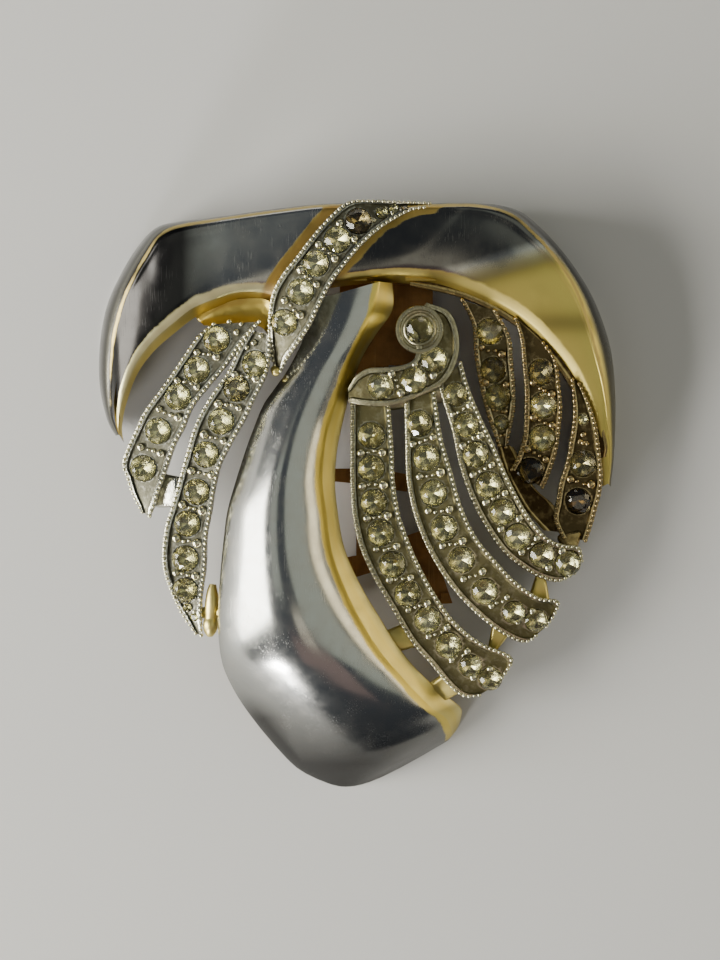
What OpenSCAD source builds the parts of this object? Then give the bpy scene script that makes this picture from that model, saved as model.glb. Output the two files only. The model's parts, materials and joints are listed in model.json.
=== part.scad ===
// Clip brooch: a hollow two-tone casting with rows of paste stones, and a hinged spring clip behind it.
// It lies face up. X runs to the right, Y to the brooch's top and Z towards the viewer, in millimetres.

/* [Casting] */
// Wall of the smooth forms
wall = 1.2; // [0.8:0.1:1.5]
// Thickness of the bars that hold the stones
bar_t = 1.8; // [1.6:0.1:2.2]
// Width of the raised rim along each bar
rim_w = 0.45; // [0.3:0.05:0.5]
// Height of that rim over the bar's floor
rim_h = 0.3; // [0.15:0.05:0.4]
// Width of the gilt bevel under the shoulders' lower edges
bevel_w = 0.8; // [0.5:0.1:1]
// Drop of that bevel
bevel_drop = 1.6; // [1:0.1:2]

/* [Stones] */
// Radius of a main stone
stone_r = 1.05; // [0.8:0.05:1.05]
// Radius of a main stone where two sit close together
close_r = 0.93; // [0.8:0.01:0.95]
// Gap between a stone and its seat
seat_gap = 0.06; // [0.04:0.01:0.1]

/* [Clip] */
// Y of the hinge pin's axis
hinge_y = 19.5; // [19:0.1:20]
// Z of the hinge pin's axis
hinge_z = 2.2; // [2.1:0.05:2.3]
// Radius of the hinge pin
pin_r = 0.55; // [0.4:0.05:0.6]
// Running gap around the hinge pin
pin_gap = 0.08; // [0.05:0.01:0.1]
// Thickness of the lever's sheet
lever_t = 0.8; // [0.6:0.1:0.9]

/* [Hidden] */

// Columns of a bar's table: its left and right edges, and the height of its top
LX = 0;
LY = 1;
RX = 2;
RY = 3;
TOP = 4;

// Top band: left x, left y, right x, right y, top z
BAND = [
    [6.0, 25.0, 6.5, 24.6, 8.9],
    [3.5, 25.1, 4.8, 24.4, 9.4],
    [1.2, 25.2, 3.2, 23.6, 9.8],
    [-0.8, 25.1, 1.7, 22.6, 10.2],
    [-2.4, 23.9, 0.2, 21.2, 10.5],
    [-4.0, 22.1, -1.2, 19.5, 10.6],
    [-5.3, 20.4, -2.3, 18.0, 10.5],
    [-6.5, 18.9, -3.3, 16.1, 10.3],
    [-7.4, 17.1, -4.1, 14.4, 10.0],
    [-7.7, 14.7, -5.2, 12.8, 9.5],
    [-7.6, 12.7, -6.0, 11.7, 8.9],
    [-7.1, 10.8, -6.6, 10.7, 8.3]];

// Outer feather at the left
FEATHER_OUTER = [
    [-12.5, 14.7, -8.3, 14.9, 8.2],
    [-13.8, 13.6, -9.7, 13.4, 8.1],
    [-15.0, 11.9, -11.1, 11.3, 7.9],
    [-16.1, 10.3, -12.7, 9.4, 7.7],
    [-17.2, 8.8, -14.1, 7.6, 7.5],
    [-18.3, 7.3, -14.8, 5.9, 7.2],
    [-19.0, 5.9, -15.6, 4.4, 6.9],
    [-20.2, 3.1, -16.5, 1.8, 6.3],
    [-19.9, 1.7, -17.0, 0.4, 6.0],
    [-19.4, 0.2, -17.4, -0.8, 5.8],
    [-18.6, -1.3, -17.8, -1.7, 5.6]];

// Inner feather at the left
FEATHER_INNER = [
    [-9.3, 14.2, -7.4, 13.8, 8.8],
    [-10.3, 12.5, -7.5, 11.7, 8.7],
    [-11.2, 10.6, -7.9, 10.1, 8.5],
    [-12.4, 8.9, -8.8, 8.3, 8.3],
    [-13.3, 7.5, -9.6, 6.6, 8.0],
    [-14.1, 5.8, -10.5, 5.0, 7.8],
    [-14.7, 3.8, -11.6, 2.9, 7.5],
    [-15.3, 1.7, -12.1, 1.1, 7.2],
    [-15.9, -0.5, -12.5, -1.3, 6.9],
    [-16.6, -2.9, -12.9, -3.5, 6.6],
    [-16.8, -5.6, -13.0, -6.1, 6.2],
    [-16.3, -7.7, -13.3, -8.2, 5.9],
    [-15.3, -9.9, -13.4, -10.1, 5.6],
    [-14.0, -11.7, -13.4, -11.9, 5.4]];

// Scroll, from its head round to its tail
SCROLL = [
    [4.0, 14.2, 5.8, 16.5, 9.7],
    [4.6, 13.6, 7.7, 15.7, 9.6],
    [4.9, 12.9, 8.5, 13.8, 9.6],
    [4.9, 12.2, 8.4, 11.7, 9.6],
    [4.5, 11.5, 7.3, 9.7, 9.7],
    [3.3, 11.1, 5.1, 8.5, 9.7],
    [2.0, 11.0, 3.1, 7.8, 9.6],
    [0.8, 10.9, 1.5, 7.7, 9.4],
    [-0.2, 10.3, 0.3, 7.8, 9.2],
    [-0.9, 9.2, -0.8, 8.0, 8.9]];

// Front ribs, from under the scroll to their free ends
RIB_A = [
    [-0.7, 7.8, 2.7, 7.8, 8.2],
    [-0.7, 3.9, 3.0, 4.0, 8.3],
    [-0.7, 1.4, 3.1, 1.4, 8.2],
    [-0.5, -1.6, 3.5, -1.3, 8.1],
    [0.1, -4.3, 4.3, -3.7, 7.9],
    [1.2, -6.8, 5.4, -6.2, 7.6],
    [2.7, -9.4, 6.8, -8.7, 7.2],
    [4.4, -12.3, 8.3, -10.7, 6.7],
    [6.2, -14.4, 10.5, -12.5, 6.2],
    [7.7, -16.2, 13.1, -13.7, 5.7],
    [8.9, -17.1, 12.8, -14.9, 5.4],
    [10.2, -17.1, 11.9, -16.1, 5.2]];
RIB_B = [
    [3.9, 8.3, 6.6, 8.9, 8.3],
    [4.0, 4.4, 7.1, 5.3, 8.4],
    [4.1, 1.4, 8.0, 2.1, 8.3],
    [4.7, -1.5, 8.9, -1.0, 8.1],
    [5.7, -4.1, 10.1, -3.5, 7.8],
    [7.1, -6.6, 11.6, -5.3, 7.4],
    [8.9, -8.9, 13.4, -7.2, 6.9],
    [11.2, -11.0, 15.4, -8.6, 6.3],
    [13.1, -12.2, 17.1, -8.9, 5.7],
    [14.3, -12.5, 16.9, -9.9, 5.4],
    [15.1, -12.0, 16.2, -11.0, 5.2]];
RIB_C = [
    [6.8, 9.5, 8.8, 11.5, 8.6],
    [7.3, 7.8, 9.5, 9.1, 8.5],
    [8.0, 5.5, 10.5, 6.7, 8.4],
    [8.6, 2.7, 11.5, 4.6, 8.2],
    [9.5, 0.0, 12.8, 1.6, 7.9],
    [10.7, -2.4, 14.1, -0.9, 7.5],
    [12.3, -4.7, 15.2, -2.5, 7.1],
    [14.0, -6.1, 16.3, -3.6, 6.6],
    [15.6, -7.0, 17.6, -4.1, 6.1],
    [17.1, -7.3, 18.9, -4.3, 5.7],
    [18.4, -6.7, 19.2, -5.4, 5.4]];

// Back ribs, from the right shoulder down to the valley beside the third front rib
RIB_D = [
    [8.7, 16.8, 11.8, 15.8, 7.6],
    [9.7, 14.7, 13.0, 13.5, 7.1],
    [9.9, 12.1, 13.2, 11.5, 6.8],
    [10.3, 9.8, 13.4, 9.4, 6.5],
    [10.7, 8.0, 13.4, 7.6, 6.3],
    [11.3, 6.1, 13.1, 5.8, 6.0],
    [12.0, 4.4, 12.7, 4.2, 5.7]];
RIB_E = [
    [13.3, 15.3, 15.9, 13.0, 7.2],
    [13.8, 13.6, 16.9, 11.5, 7.0],
    [14.0, 11.7, 17.2, 9.5, 6.8],
    [14.2, 9.4, 17.4, 7.8, 6.6],
    [14.2, 7.4, 17.3, 6.0, 6.3],
    [14.1, 5.3, 17.0, 3.8, 6.0],
    [13.6, 3.5, 16.4, 1.9, 5.7],
    [13.0, 2.4, 15.9, 0.7, 5.4]];
RIB_F = [
    [18.2, 10.0, 18.9, 9.6, 6.6],
    [18.3, 8.3, 19.8, 7.8, 6.5],
    [18.3, 6.4, 20.4, 5.9, 6.3],
    [18.0, 4.4, 20.7, 3.8, 6.0],
    [17.7, 2.8, 20.9, 1.9, 5.8],
    [17.2, 1.2, 20.8, 0.4, 5.6],
    [16.9, -0.6, 20.5, -0.8, 5.4],
    [16.7, -2.0, 20.1, -2.3, 5.2],
    [17.4, -3.5, 19.6, -3.8, 5.1]];

// Plain floor of the valley, and the ledge under the right shoulder that the back ribs grow from
VALLEY = [
    [11.7, 4.9, 13.3, 4.2, 5.3],
    [12.4, 2.6, 15.0, 0.9, 5.1],
    [13.3, 0.6, 16.6, -0.6, 4.9],
    [14.3, -1.1, 17.6, -1.9, 4.8],
    [15.9, -2.9, 18.6, -3.2, 4.7]];
LEDGE = [
    [4.4, 18.0, 4.4, 19.4, 7.6],
    [9.0, 16.9, 9.8, 18.4, 7.3],
    [12.8, 15.0, 13.8, 16.3, 7.0],
    [15.8, 12.4, 17.0, 13.5, 6.6],
    [18.2, 9.2, 19.5, 9.9, 6.1],
    [20.20, 4.8, 21.20, 5.0, 5.60],
    [20.3, 3.2, 21.2, 3.4, 5.3]];

// Columns of a shoulder's table: inner edge, crease and outer edge, each x, y and z
INNER = 0;
CREASE = 3;
OUTER = 6;

SHOULDER_LEFT = [
    [-6.3, 16.8, 8.6, -0.6, 24.8, 9.6, -0.4, 25.1, 3.2],
    [-8.3, 17.4, 8.8, -3.5, 24.7, 9.5, -3.3, 25.0, 3.2],
    [-10.3, 17.4, 8.9, -7.6, 24.2, 9.2, -7.4, 24.6, 3.0],
    [-12.3, 16.8, 8.8, -11.8, 23.6, 8.9, -11.8, 24.0, 2.6],
    [-14.2, 16.0, 8.6, -15.3, 23.0, 8.5, -15.6, 23.6, 2.0],
    [-15.9, 14.7, 8.2, -17.0, 22.2, 8.1, -17.5, 23.1, 1.4],
    [-17.2, 13.6, 7.8, -18.1, 20.6, 7.7, -19.0, 21.6, 0.6],
    [-18.3, 12.4, 7.3, -19.2, 18.7, 7.3, -20.5, 19.3, -0.4],
    [-19.2, 11.0, 6.8, -20.1, 16.7, 6.7, -21.8, 16.4, -0.8],
    [-19.9, 9.3, 6.2, -20.9, 13.8, 5.9, -22.4, 13.0, -0.8],
    [-20.4, 7.6, 5.5, -21.2, 10.6, 4.8, -22.4, 9.5, -0.8],
    [-20.6, 5.9, 4.6, -21.2, 7.2, 3.4, -21.7, 6.6, 0.2],
    [-20.3, 4.9, 4.1, -20.55, 5.3, 3.6, -20.9, 5.2, 1.6]];
SHOULDER_RIGHT = [
    [-3.4, 18.2, 8.8, 2.6, 24.8, 9.2, 2.6, 25.1, 3.2],
    [1.8, 18.8, 8.9, 7.8, 24.8, 9.3, 7.9, 25.1, 3.2],
    [4.4, 18.8, 8.8, 9.7, 24.8, 9.2, 9.9, 25.1, 3.0],
    [7.0, 18.5, 8.6, 11.6, 24.5, 9.1, 12.0, 25.0, 2.8],
    [9.4, 17.7, 8.4, 13.3, 23.8, 8.9, 13.9, 24.5, 2.2],
    [11.4, 16.8, 8.2, 14.7, 22.6, 8.7, 15.5, 23.3, 1.6],
    [13.4, 15.7, 7.9, 16.1, 21.2, 8.4, 17.1, 21.7, 0.8],
    [15.2, 14.3, 7.6, 17.4, 19.5, 8.1, 18.7, 19.7, 0.0],
    [16.6, 12.8, 7.2, 18.6, 17.5, 7.7, 20.1, 17.5, -0.6],
    [17.9, 11.2, 6.8, 19.5, 15.1, 7.3, 21.2, 14.9, -0.8],
    [19.0, 9.4, 6.4, 20.3, 12.4, 6.8, 21.9, 12.3, -0.8],
    [20.0, 7.3, 6.0, 21.0, 9.4, 6.3, 22.2, 9.3, -0.8],
    [20.6, 5.0, 5.6, 21.4, 6.4, 5.6, 22.2, 6.2, -0.4],
    [20.9, 2.7, 5.0, 21.6, 3.5, 4.8, 22.0, 3.3, 0.8],
    [21.0, 0.9, 4.3, 21.4, 1.1, 4.1, 21.7, 0.8, 2.2]];

// Columns of the drop's table: left edge, height of the crest, and the rim's inner and outer edges
LEFT = 0;
CREST = 3;
RIM_IN = 4;
RIM_OUT = 7;

DROP = [
    [-3.5, 16.8, 8.4, 9.0, 1.8, 18.3, 8.5, 2.9, 18.2, 7.2],
    [-4.7, 13.4, 8.4, 9.6, 1.3, 15.9, 8.7, 2.9, 15.9, 7.3],
    [-5.9, 11.0, 8.3, 10.0, 0.3, 13.6, 8.9, 1.5, 13.8, 7.5],
    [-7.0, 9.4, 8.2, 10.3, -0.7, 11.5, 9.0, 0.3, 11.8, 7.7],
    [-8.1, 7.8, 8.1, 10.5, -1.5, 9.1, 9.0, -0.6, 9.3, 7.8],
    [-8.9, 5.9, 8.0, 10.7, -2.4, 6.5, 9.0, -1.3, 6.5, 7.8],
    [-9.6, 4.0, 7.9, 10.9, -2.9, 4.1, 9.0, -1.8, 4.1, 7.8],
    [-10.5, 1.2, 7.8, 11.1, -3.1, 1.4, 8.9, -2.0, 1.4, 7.7],
    [-11.2, -1.4, 7.7, 11.2, -2.8, -1.1, 8.8, -1.8, -1.0, 7.6],
    [-11.6, -4.6, 7.4, 11.3, -2.3, -4.7, 8.6, -1.2, -4.4, 7.4],
    [-11.9, -8.0, 7.0, 11.2, -1.1, -8.0, 8.3, 0.2, -7.6, 7.1],
    [-12.0, -11.2, 6.4, 10.8, 0.3, -10.8, 7.9, 1.8, -10.3, 6.6],
    [-11.7, -14.1, 5.4, 10.1, 1.8, -13.2, 7.4, 3.3, -12.7, 6.1],
    [-10.9, -16.2, 4.2, 9.2, 3.3, -15.0, 6.7, 4.7, -14.5, 5.4],
    [-9.6, -18.4, 2.8, 8.1, 4.8, -16.7, 5.8, 6.2, -16.0, 4.5],
    [-7.7, -20.9, 1.3, 6.7, 6.3, -18.2, 4.6, 7.6, -17.2, 3.4],
    [-5.5, -23.3, 0.1, 5.3, 7.4, -19.0, 3.2, 8.8, -18.2, 2.2],
    [-3.5, -24.6, -0.3, 4.0, 7.9, -19.9, 2.2, 8.8, -19.2, 1.2],
    [-1.5, -25.3, -0.4, 2.0, 8.0, -20.6, 1.0, 8.5, -20.1, 0.2],
    [0.8, -25.2, -0.6, -0.4, 7.6, -21.3, -0.5, 7.9, -21.0, -0.8]];

// Stones of each bar: x, y and radius
BAND_STONES = [[3.9, 24.4, 0.3], [3.0, 24.4, 0.42], [2.0, 24.1, 0.5], [0.0, 23.4, stone_r],
    [-1.8, 21.8, stone_r], [-3.6, 19.8, stone_r], [-4.9, 17.4, stone_r], [-6.3, 14.8, stone_r]];
FEATHER_OUTER_STONES = [[-12.1, 13.4, stone_r], [-13.8, 10.8, stone_r], [-15.4, 8.5, stone_r],
    [-17.1, 5.6, stone_r], [-18.4, 2.4, stone_r]];
FEATHER_INNER_STONES = [[-8.8, 11.3, stone_r], [-10.4, 9.2, stone_r], [-11.7, 6.4, stone_r],
    [-13.0, 3.6, stone_r], [-13.8, 0.4, stone_r], [-14.6, -2.3, stone_r], [-14.8, -5.3, stone_r],
    [-14.8, -8.0, 1.0], [-14.6, -9.45, 0.35], [-14.0, -10.3, 0.35]];
SCROLL_STONES = [[6.4, 11.6, stone_r], [4.7, 9.9, stone_r], [1.9, 9.4, stone_r]];
RIB_A_STONES = [[1.1, 5.2, stone_r], [1.1, 2.4, stone_r], [1.3, -0.5, stone_r], [1.9, -3.1, stone_r],
    [2.9, -5.8, stone_r], [4.2, -8.3, stone_r], [5.9, -10.5, stone_r], [7.7, -12.7, stone_r],
    [9.6, -14.5, close_r], [11.3, -15.6, close_r]];
RIB_B_STONES = [[5.2, 6.2, stone_r], [5.8, 3.3, stone_r], [6.4, 0.3, stone_r], [7.3, -2.7, stone_r],
    [8.8, -5.4, stone_r], [10.8, -8.1, stone_r], [13.3, -9.9, close_r], [15.2, -10.6, close_r]];
RIB_C_STONES = [[8.3, 8.7, 0.95], [9.2, 6.1, 1.0], [10.0, 3.6, stone_r], [11.1, 1.0, stone_r],
    [12.3, -1.3, stone_r], [13.6, -3.4, stone_r], [15.7, -5.0, stone_r], [17.9, -5.7, stone_r]];
RIB_D_STONES = [[11.2, 14.1, stone_r], [11.5, 10.8, stone_r], [11.9, 8.5, stone_r], [12.2, 6.3, 0.6]];
RIB_E_STONES = [[15.6, 10.6, stone_r], [15.8, 7.8, stone_r], [15.7, 5.0, stone_r], [14.7, 2.2, stone_r]];
RIB_F_STONES = [[19.2, 6.6, 0.43], [19.2, 2.8, stone_r], [18.8, -0.4, stone_r]];

// A bar's lean is how much higher its right edge is than its left one
band_lean = 0.4;
feather_lean = 0.7;
scroll_lean = -0.2;
front_lean = 0.3;
back_lean = -0.3;

// Every bar with stones: its sections, its lean, the steps along it and its stones
// The scroll's first stone sits in its raised head, so the bar carries the others
SECTIONS = 0;
LEAN = 1;
STEPS = 2;
STONES = 3;
BARS = [
    [BAND, band_lean, 15, BAND_STONES],
    [FEATHER_OUTER, feather_lean, 12, FEATHER_OUTER_STONES],
    [FEATHER_INNER, feather_lean, 15, FEATHER_INNER_STONES],
    [SCROLL, scroll_lean, 14, SCROLL_STONES],
    [RIB_A, front_lean, 15, RIB_A_STONES],
    [RIB_B, front_lean, 14, RIB_B_STONES],
    [RIB_C, front_lean, 14, RIB_C_STONES],
    [RIB_D, back_lean, 8, RIB_D_STONES],
    [RIB_E, back_lean, 9, RIB_E_STONES],
    [RIB_F, back_lean, 9, RIB_F_STONES]];

// Steps along the plain pieces, and the depth of the groove in those that carry no stones
valley_steps = 4;
ledge_steps = 9;
shoulder_left_steps = 17;
shoulder_right_steps = 20;
drop_steps = 27;
plain_depth = 0.05;

// Round head of the scroll: its radius, the middle of its top, its height and its sides
head_r = 2.05;
head_at = [5.2, 14.2, 9.8];
head_h = 2.2;
head_sides = 20;

// Catmull-Rom spline through a table's rows
function row_of(rows, i) = rows[max(0, min(len(rows) - 1, i))];
function spline(a, b, c, d, u) = 0.5 * (2 * b + (c - a) * u + (2 * a - 5 * b + 4 * c - d) * u * u
    + (3 * b - a - 3 * c + d) * u * u * u);
function row_at(rows, t) = let (n = len(rows) - 1, k = min(floor(t * n), n - 1))
    spline(row_of(rows, k - 1), row_of(rows, k), row_of(rows, k + 1), row_of(rows, k + 2), t * n - k);
function stations(rows, steps) = [for (i = [0 : steps]) row_at(rows, i / steps)];
function unit(v) = v / norm(v);
function point(row, c) = [row[c], row[c + 1], row[c + 2]];

// Closed solid between an upper and a lower grid of points of one size
module slab(upper, lower) {
    n = len(upper);
    m = len(upper[0]);
    function up(i, j) = i * m + j;
    function low(i, j) = n * m + i * m + j;
    points = concat([for (r = upper) each r], [for (r = lower) each r]);
    skin = [for (i = [0 : n - 2], j = [0 : m - 2]) each [
        [up(i, j), up(i, j + 1), up(i + 1, j + 1)], [up(i, j), up(i + 1, j + 1), up(i + 1, j)],
        [low(i, j), low(i + 1, j + 1), low(i, j + 1)], [low(i, j), low(i + 1, j), low(i + 1, j + 1)]]];
    sides = [for (i = [0 : n - 2]) each [
        [up(i, 0), up(i + 1, 0), low(i + 1, 0)], [up(i, 0), low(i + 1, 0), low(i, 0)],
        [up(i, m - 1), low(i + 1, m - 1), up(i + 1, m - 1)],
        [up(i, m - 1), low(i, m - 1), low(i + 1, m - 1)]]];
    ends = [for (j = [0 : m - 2]) each [
        [up(0, j), low(0, j + 1), up(0, j + 1)], [up(0, j), low(0, j), low(0, j + 1)],
        [up(n - 1, j), up(n - 1, j + 1), low(n - 1, j + 1)],
        [up(n - 1, j), low(n - 1, j + 1), low(n - 1, j)]]];
    polyhedron(points, concat(skin, sides, ends));
}

// Closed solid through a list of rings: each has six points along its top from left to right, then its two
// bottom corners
module loop(rings) {
    n = len(rings);
    m = len(rings[0]);
    points = [for (r = rings) each r];
    skin = [for (i = [0 : n - 2], j = [0 : m - 1]) let (a = i * m + j, b = i * m + (j + 1) % m)
        each [[a, b + m, a + m], [a, b, b + m]]];
    end = [[0, 1, 7], [1, 2, 7], [2, 3, 7], [3, 6, 7], [3, 4, 6], [4, 5, 6]];
    function cap(k) = [for (t = end) [k + t[0], k + t[1], k + t[2]]];
    first = [for (t = cap(0)) [t[2], t[1], t[0]]];
    polyhedron(points, concat(skin, first, cap((n - 1) * m)));
}

// Normal of a grid of points, which faces up and out
function grid_normal(g, i, j) = let (
    a = g[min(i + 1, len(g) - 1)][j] - g[max(i - 1, 0)][j],
    b = g[i][min(j + 1, len(g[0]) - 1)] - g[i][max(j - 1, 0)])
    unit(cross(a, b));

// Wall under a grid, thinner where the form runs out to a point
point_share = 0.3;
module shell(grid, side) {
    last = len(grid[0]) - 1;
    inner = [for (i = [0 : len(grid) - 1]) let (t = min(wall, point_share * norm(grid[i][0] - grid[i][last])))
        [for (j = [0 : last]) grid[i][j] - side * t * grid_normal(grid, i, j)]];
    slab(side > 0 ? grid : inner, side > 0 ? inner : grid);
}

// Bar with two raised rims and a sunk floor between them
// A rim takes at most this share of a narrow bar, and slopes down to the floor over this share of itself
rim_share = 0.25;
rim_slope = 0.3;
function bar_left(s, lean) = [s[LX], s[LY], s[TOP] - lean / 2];
function bar_right(s, lean) = [s[RX], s[RY], s[TOP] + lean / 2];
function bar_section(s, lean, depth) = let (l = bar_left(s, lean), r = bar_right(s, lean), a = unit(r - l),
    w = min(rim_w, norm(r - l) * rim_share), foot = w * (1 + rim_slope), down = [0, 0, -depth])
    [l, l + a * w, l + a * foot + down, r - a * foot + down, r - a * w, r];
module bar(rows, lean, steps, depth = rim_h) {
    loop([for (s = stations(rows, steps)) let (top = bar_section(s, lean, depth))
        concat(top, [top[5] - [0, 0, bar_t], top[0] - [0, 0, bar_t]])]);
}

// Frame of a stone on its bar: its place on the floor, and the axes along and across the bar
function middle(s, lean) = (bar_left(s, lean) + bar_right(s, lean)) / 2;
function nearest(list, p) = let (d = [for (q = list) norm([q[0] - p[0], q[1] - p[1]])]) search(min(d), d)[0];
fine_steps = 60;
function setting(rows, lean, p) = let (
    close = stations(rows, fine_steps), mids = [for (s = close) middle(s, lean)],
    k = max(1, min(fine_steps - 1, nearest(mids, p))),
    across = unit(bar_right(close[k], lean) - bar_left(close[k], lean)),
    along = unit(mids[k + 1] - mids[k - 1]), c = unit(cross(across, along)), n = c[2] < 0 ? -c : c,
    m = mids[k], z = m[2] - (n[0] * (p[0] - m[0]) + n[1] * (p[1] - m[1])) / n[2],
    side = unit(across - n * (across * n)), front = cross(n, side))
    [[side[0], front[0], n[0], p[0]], [side[1], front[1], n[1], p[1]],
    [side[2], front[2], n[2], z - rim_h], [0, 0, 0, 1]];

// Round chaton: a table, a crown of triangles, a thin girdle and a pointed back
// Its table, crown and back are shares of its radius
table_share = 0.6;
crown_share = 0.42;
back_share = 0.62;
girdle = 0.12;
stone_sides = 8;
module chaton(r) {
    function ring(radius, z, turn) = [for (i = [0 : stone_sides - 1]) let (a = (i + turn) * 360 / stone_sides)
        [radius * cos(a), radius * sin(a), z]];
    points = concat(ring(r * table_share, r * crown_share, 0), ring(r, girdle / 2, 0.5),
        ring(r, -girdle / 2, 0.5), [[0, 0, -r * back_share]]);
    upper = stone_sides;
    lower = 2 * stone_sides;
    table = [for (i = [stone_sides - 1 : -1 : 0]) i];
    crown = [for (i = [0 : stone_sides - 1]) let (k = (i + 1) % stone_sides)
        each [[k, upper + i, i], [k, upper + k, upper + i]]];
    edge = [for (i = [0 : stone_sides - 1]) let (k = (i + 1) % stone_sides)
        each [[upper + k, lower + i, upper + i], [upper + k, lower + k, lower + i]]];
    back = [for (i = [0 : stone_sides - 1]) [lower + (i + 1) % stone_sides, 3 * stone_sides, lower + i]];
    polyhedron(points, concat([table], crown, edge, back));
}

// A stone's girdle lies this far above the bar's floor, and its seat is cut this high
stone_lift = 0.18;
seat_h = 2.4;
module stones(list, rows, lean) {
    for (p = list) multmatrix(setting(rows, lean, p)) translate([0, 0, stone_lift]) chaton(p[2]);
}
module seat(r) {
    translate([0, 0, stone_lift - r * back_share - seat_gap]) rotate(180 / stone_sides)
        cylinder(r = r + seat_gap, h = seat_h, $fn = stone_sides);
}
module seats(list, rows, lean) {
    for (p = list) multmatrix(setting(rows, lean, p)) seat(p[2]);
}

// Shoulder: gilt bevel, domed face, soft crease and side wall
// The face's points are shares of its width, and it swells by a share of that width up to a limit
// The side wall's points are shares of its way out and of its way down
FACE = [0, 0.25, 0.5, 0.75, 0.92];
swell_share = 0.06;
swell_limit = 0.5;
FOLD = [[0.45, 0.12], [0.8, 0.4]];
function shoulder_section(s) = let (i = point(s, INNER), c = point(s, CREASE), o = point(s, OUTER),
    w = unit([i[0] - c[0], i[1] - c[1], 0]), width = norm(i - c),
    swell = min(swell_limit, width * swell_share))
    concat([i + w * min(bevel_w, width / 2) - [0, 0, min(bevel_drop, width)]],
    [for (u = FACE) i + (c - i) * u + [0, 0, swell * sin(180 * u)]],
    [for (f = FOLD) let (d = o - c) c + [d[0] * f[0], d[1] * f[0], d[2] * f[1]]], [o]);
module shoulder(rows, steps, side) {
    shell([for (s = stations(rows, steps)) shoulder_section(s)], side);
}

// Drop: a high dome from its left edge to its rim, and the rim's gilt bevel
// Its points lie closer together at the left, and a fullness under 1 makes the dome fuller than a sine
drop_facets = 10;
drop_spread = 1.25;
drop_fullness = 0.8;
function drop_section(s) = let (l = point(s, LEFT), r = point(s, RIM_IN), rise = s[CREST] - (l[2] + r[2]) / 2)
    concat([for (j = [0 : drop_facets]) let (u = pow(j / drop_facets, drop_spread))
    l + (r - l) * u + [0, 0, rise * pow(sin(180 * u), drop_fullness)]], [point(s, RIM_OUT)]);
module drop() {
    shell([for (s = stations(DROP, drop_steps)) drop_section(s)], 1);
}

// Webs that join neighbouring pieces of the casting, each a plate between three or more corners
// A corner is a small block, turned so that no web lies flush with what it joins
web_block = [0.6, 0.6, 1.0];
web_turn = [7, 11, 23];
WEBS = [
    [[-17.6, 0.8, 4.9], [-15.2, 0.5, 5.6], [-15.3, -0.6, 5.4], [-17.5, -0.6, 4.8]],
    [[-13.7, -8.6, 5.2], [-11.2, -8.8, 7.3], [-11.2, -11.4, 6.7], [-13.7, -11.2, 4.8]],
    [[2.2, -13.2, 5.2], [4.6, -12.6, 5.4], [3.7, -11.3, 5.4], [1.6, -12.2, 5.4]],
    [[7.0, -17.4, 3.0], [9.0, -16.2, 4.5], [7.8, -15.2, 4.7], [5.8, -16.6, 3.6]],
    [[11.4, -13.2, 4.8], [12.8, -11.4, 4.9], [11.8, -11.0, 4.9]],
    [[14.7, -9.4, 5.0], [16.0, -8.8, 5.0], [15.6, -6.6, 5.1]],
    [[18.2, -4.9, 4.6], [18.8, -3.2, 4.5], [17.4, -3.6, 4.6]],
    [[4.0, 15.4, 7.7], [3.3, 18.2, 7.4], [4.4, 18.2, 7.4]],
    [[2.0, 7.6, 7.2], [7.4, 8.4, 7.2], [7.4, 9.4, 7.4]],
    [[-12.7, 16.1, 6.9], [-8.4, 17.0, 7.2], [-8.2, 14.5, 7.7], [-12.3, 14.5, 7.3]]];
module webs() {
    for (w = WEBS) hull() for (p = w) translate(p) rotate(web_turn) cube(web_block, center = true);
}

// Raised round head of the scroll
module scroll_head() {
    translate(head_at - [0, 0, head_h]) difference() {
        cylinder(r = head_r, h = head_h, $fn = head_sides);
        translate([0, 0, head_h - rim_h]) cylinder(r = head_r - rim_w, h = head_h, $fn = head_sides);
    }
}
module on_head() {
    translate([head_at[0], head_at[1], head_at[2] - rim_h]) children();
}

// Pads behind the top band and the right shoulder, where the clip's base sits
base_z = 3.95;
base_t = 0.75;
seat_space = 0.05;
PAD_X = [-1.9, 4.0];
pad_y = 18.4;
pad_size = [2.6, 4.2, 3.4];
module pads() {
    for (x = PAD_X) translate([x, pad_y, base_z + base_t + seat_space]) cube(pad_size);
}

module casting_body() {
    for (b = BARS) bar(b[SECTIONS], b[LEAN], b[STEPS]);
    bar(VALLEY, 0, valley_steps, plain_depth);
    bar(LEDGE, 0, ledge_steps, plain_depth);
    shoulder(SHOULDER_LEFT, shoulder_left_steps, -1);
    shoulder(SHOULDER_RIGHT, shoulder_right_steps, 1);
    drop();
    scroll_head();
    pads();
    webs();
}
module casting_seats() {
    for (b = BARS) seats(b[STONES], b[SECTIONS], b[LEAN]);
    on_head() seat(stone_r);
}

// Everything below the plane that the brooch rests on is cut away
cut = 80;
module casting() {
    color("silver") difference() {
        casting_body();
        casting_seats();
        translate([-cut / 2, -cut / 2, -cut]) cube(cut);
    }
}

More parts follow.
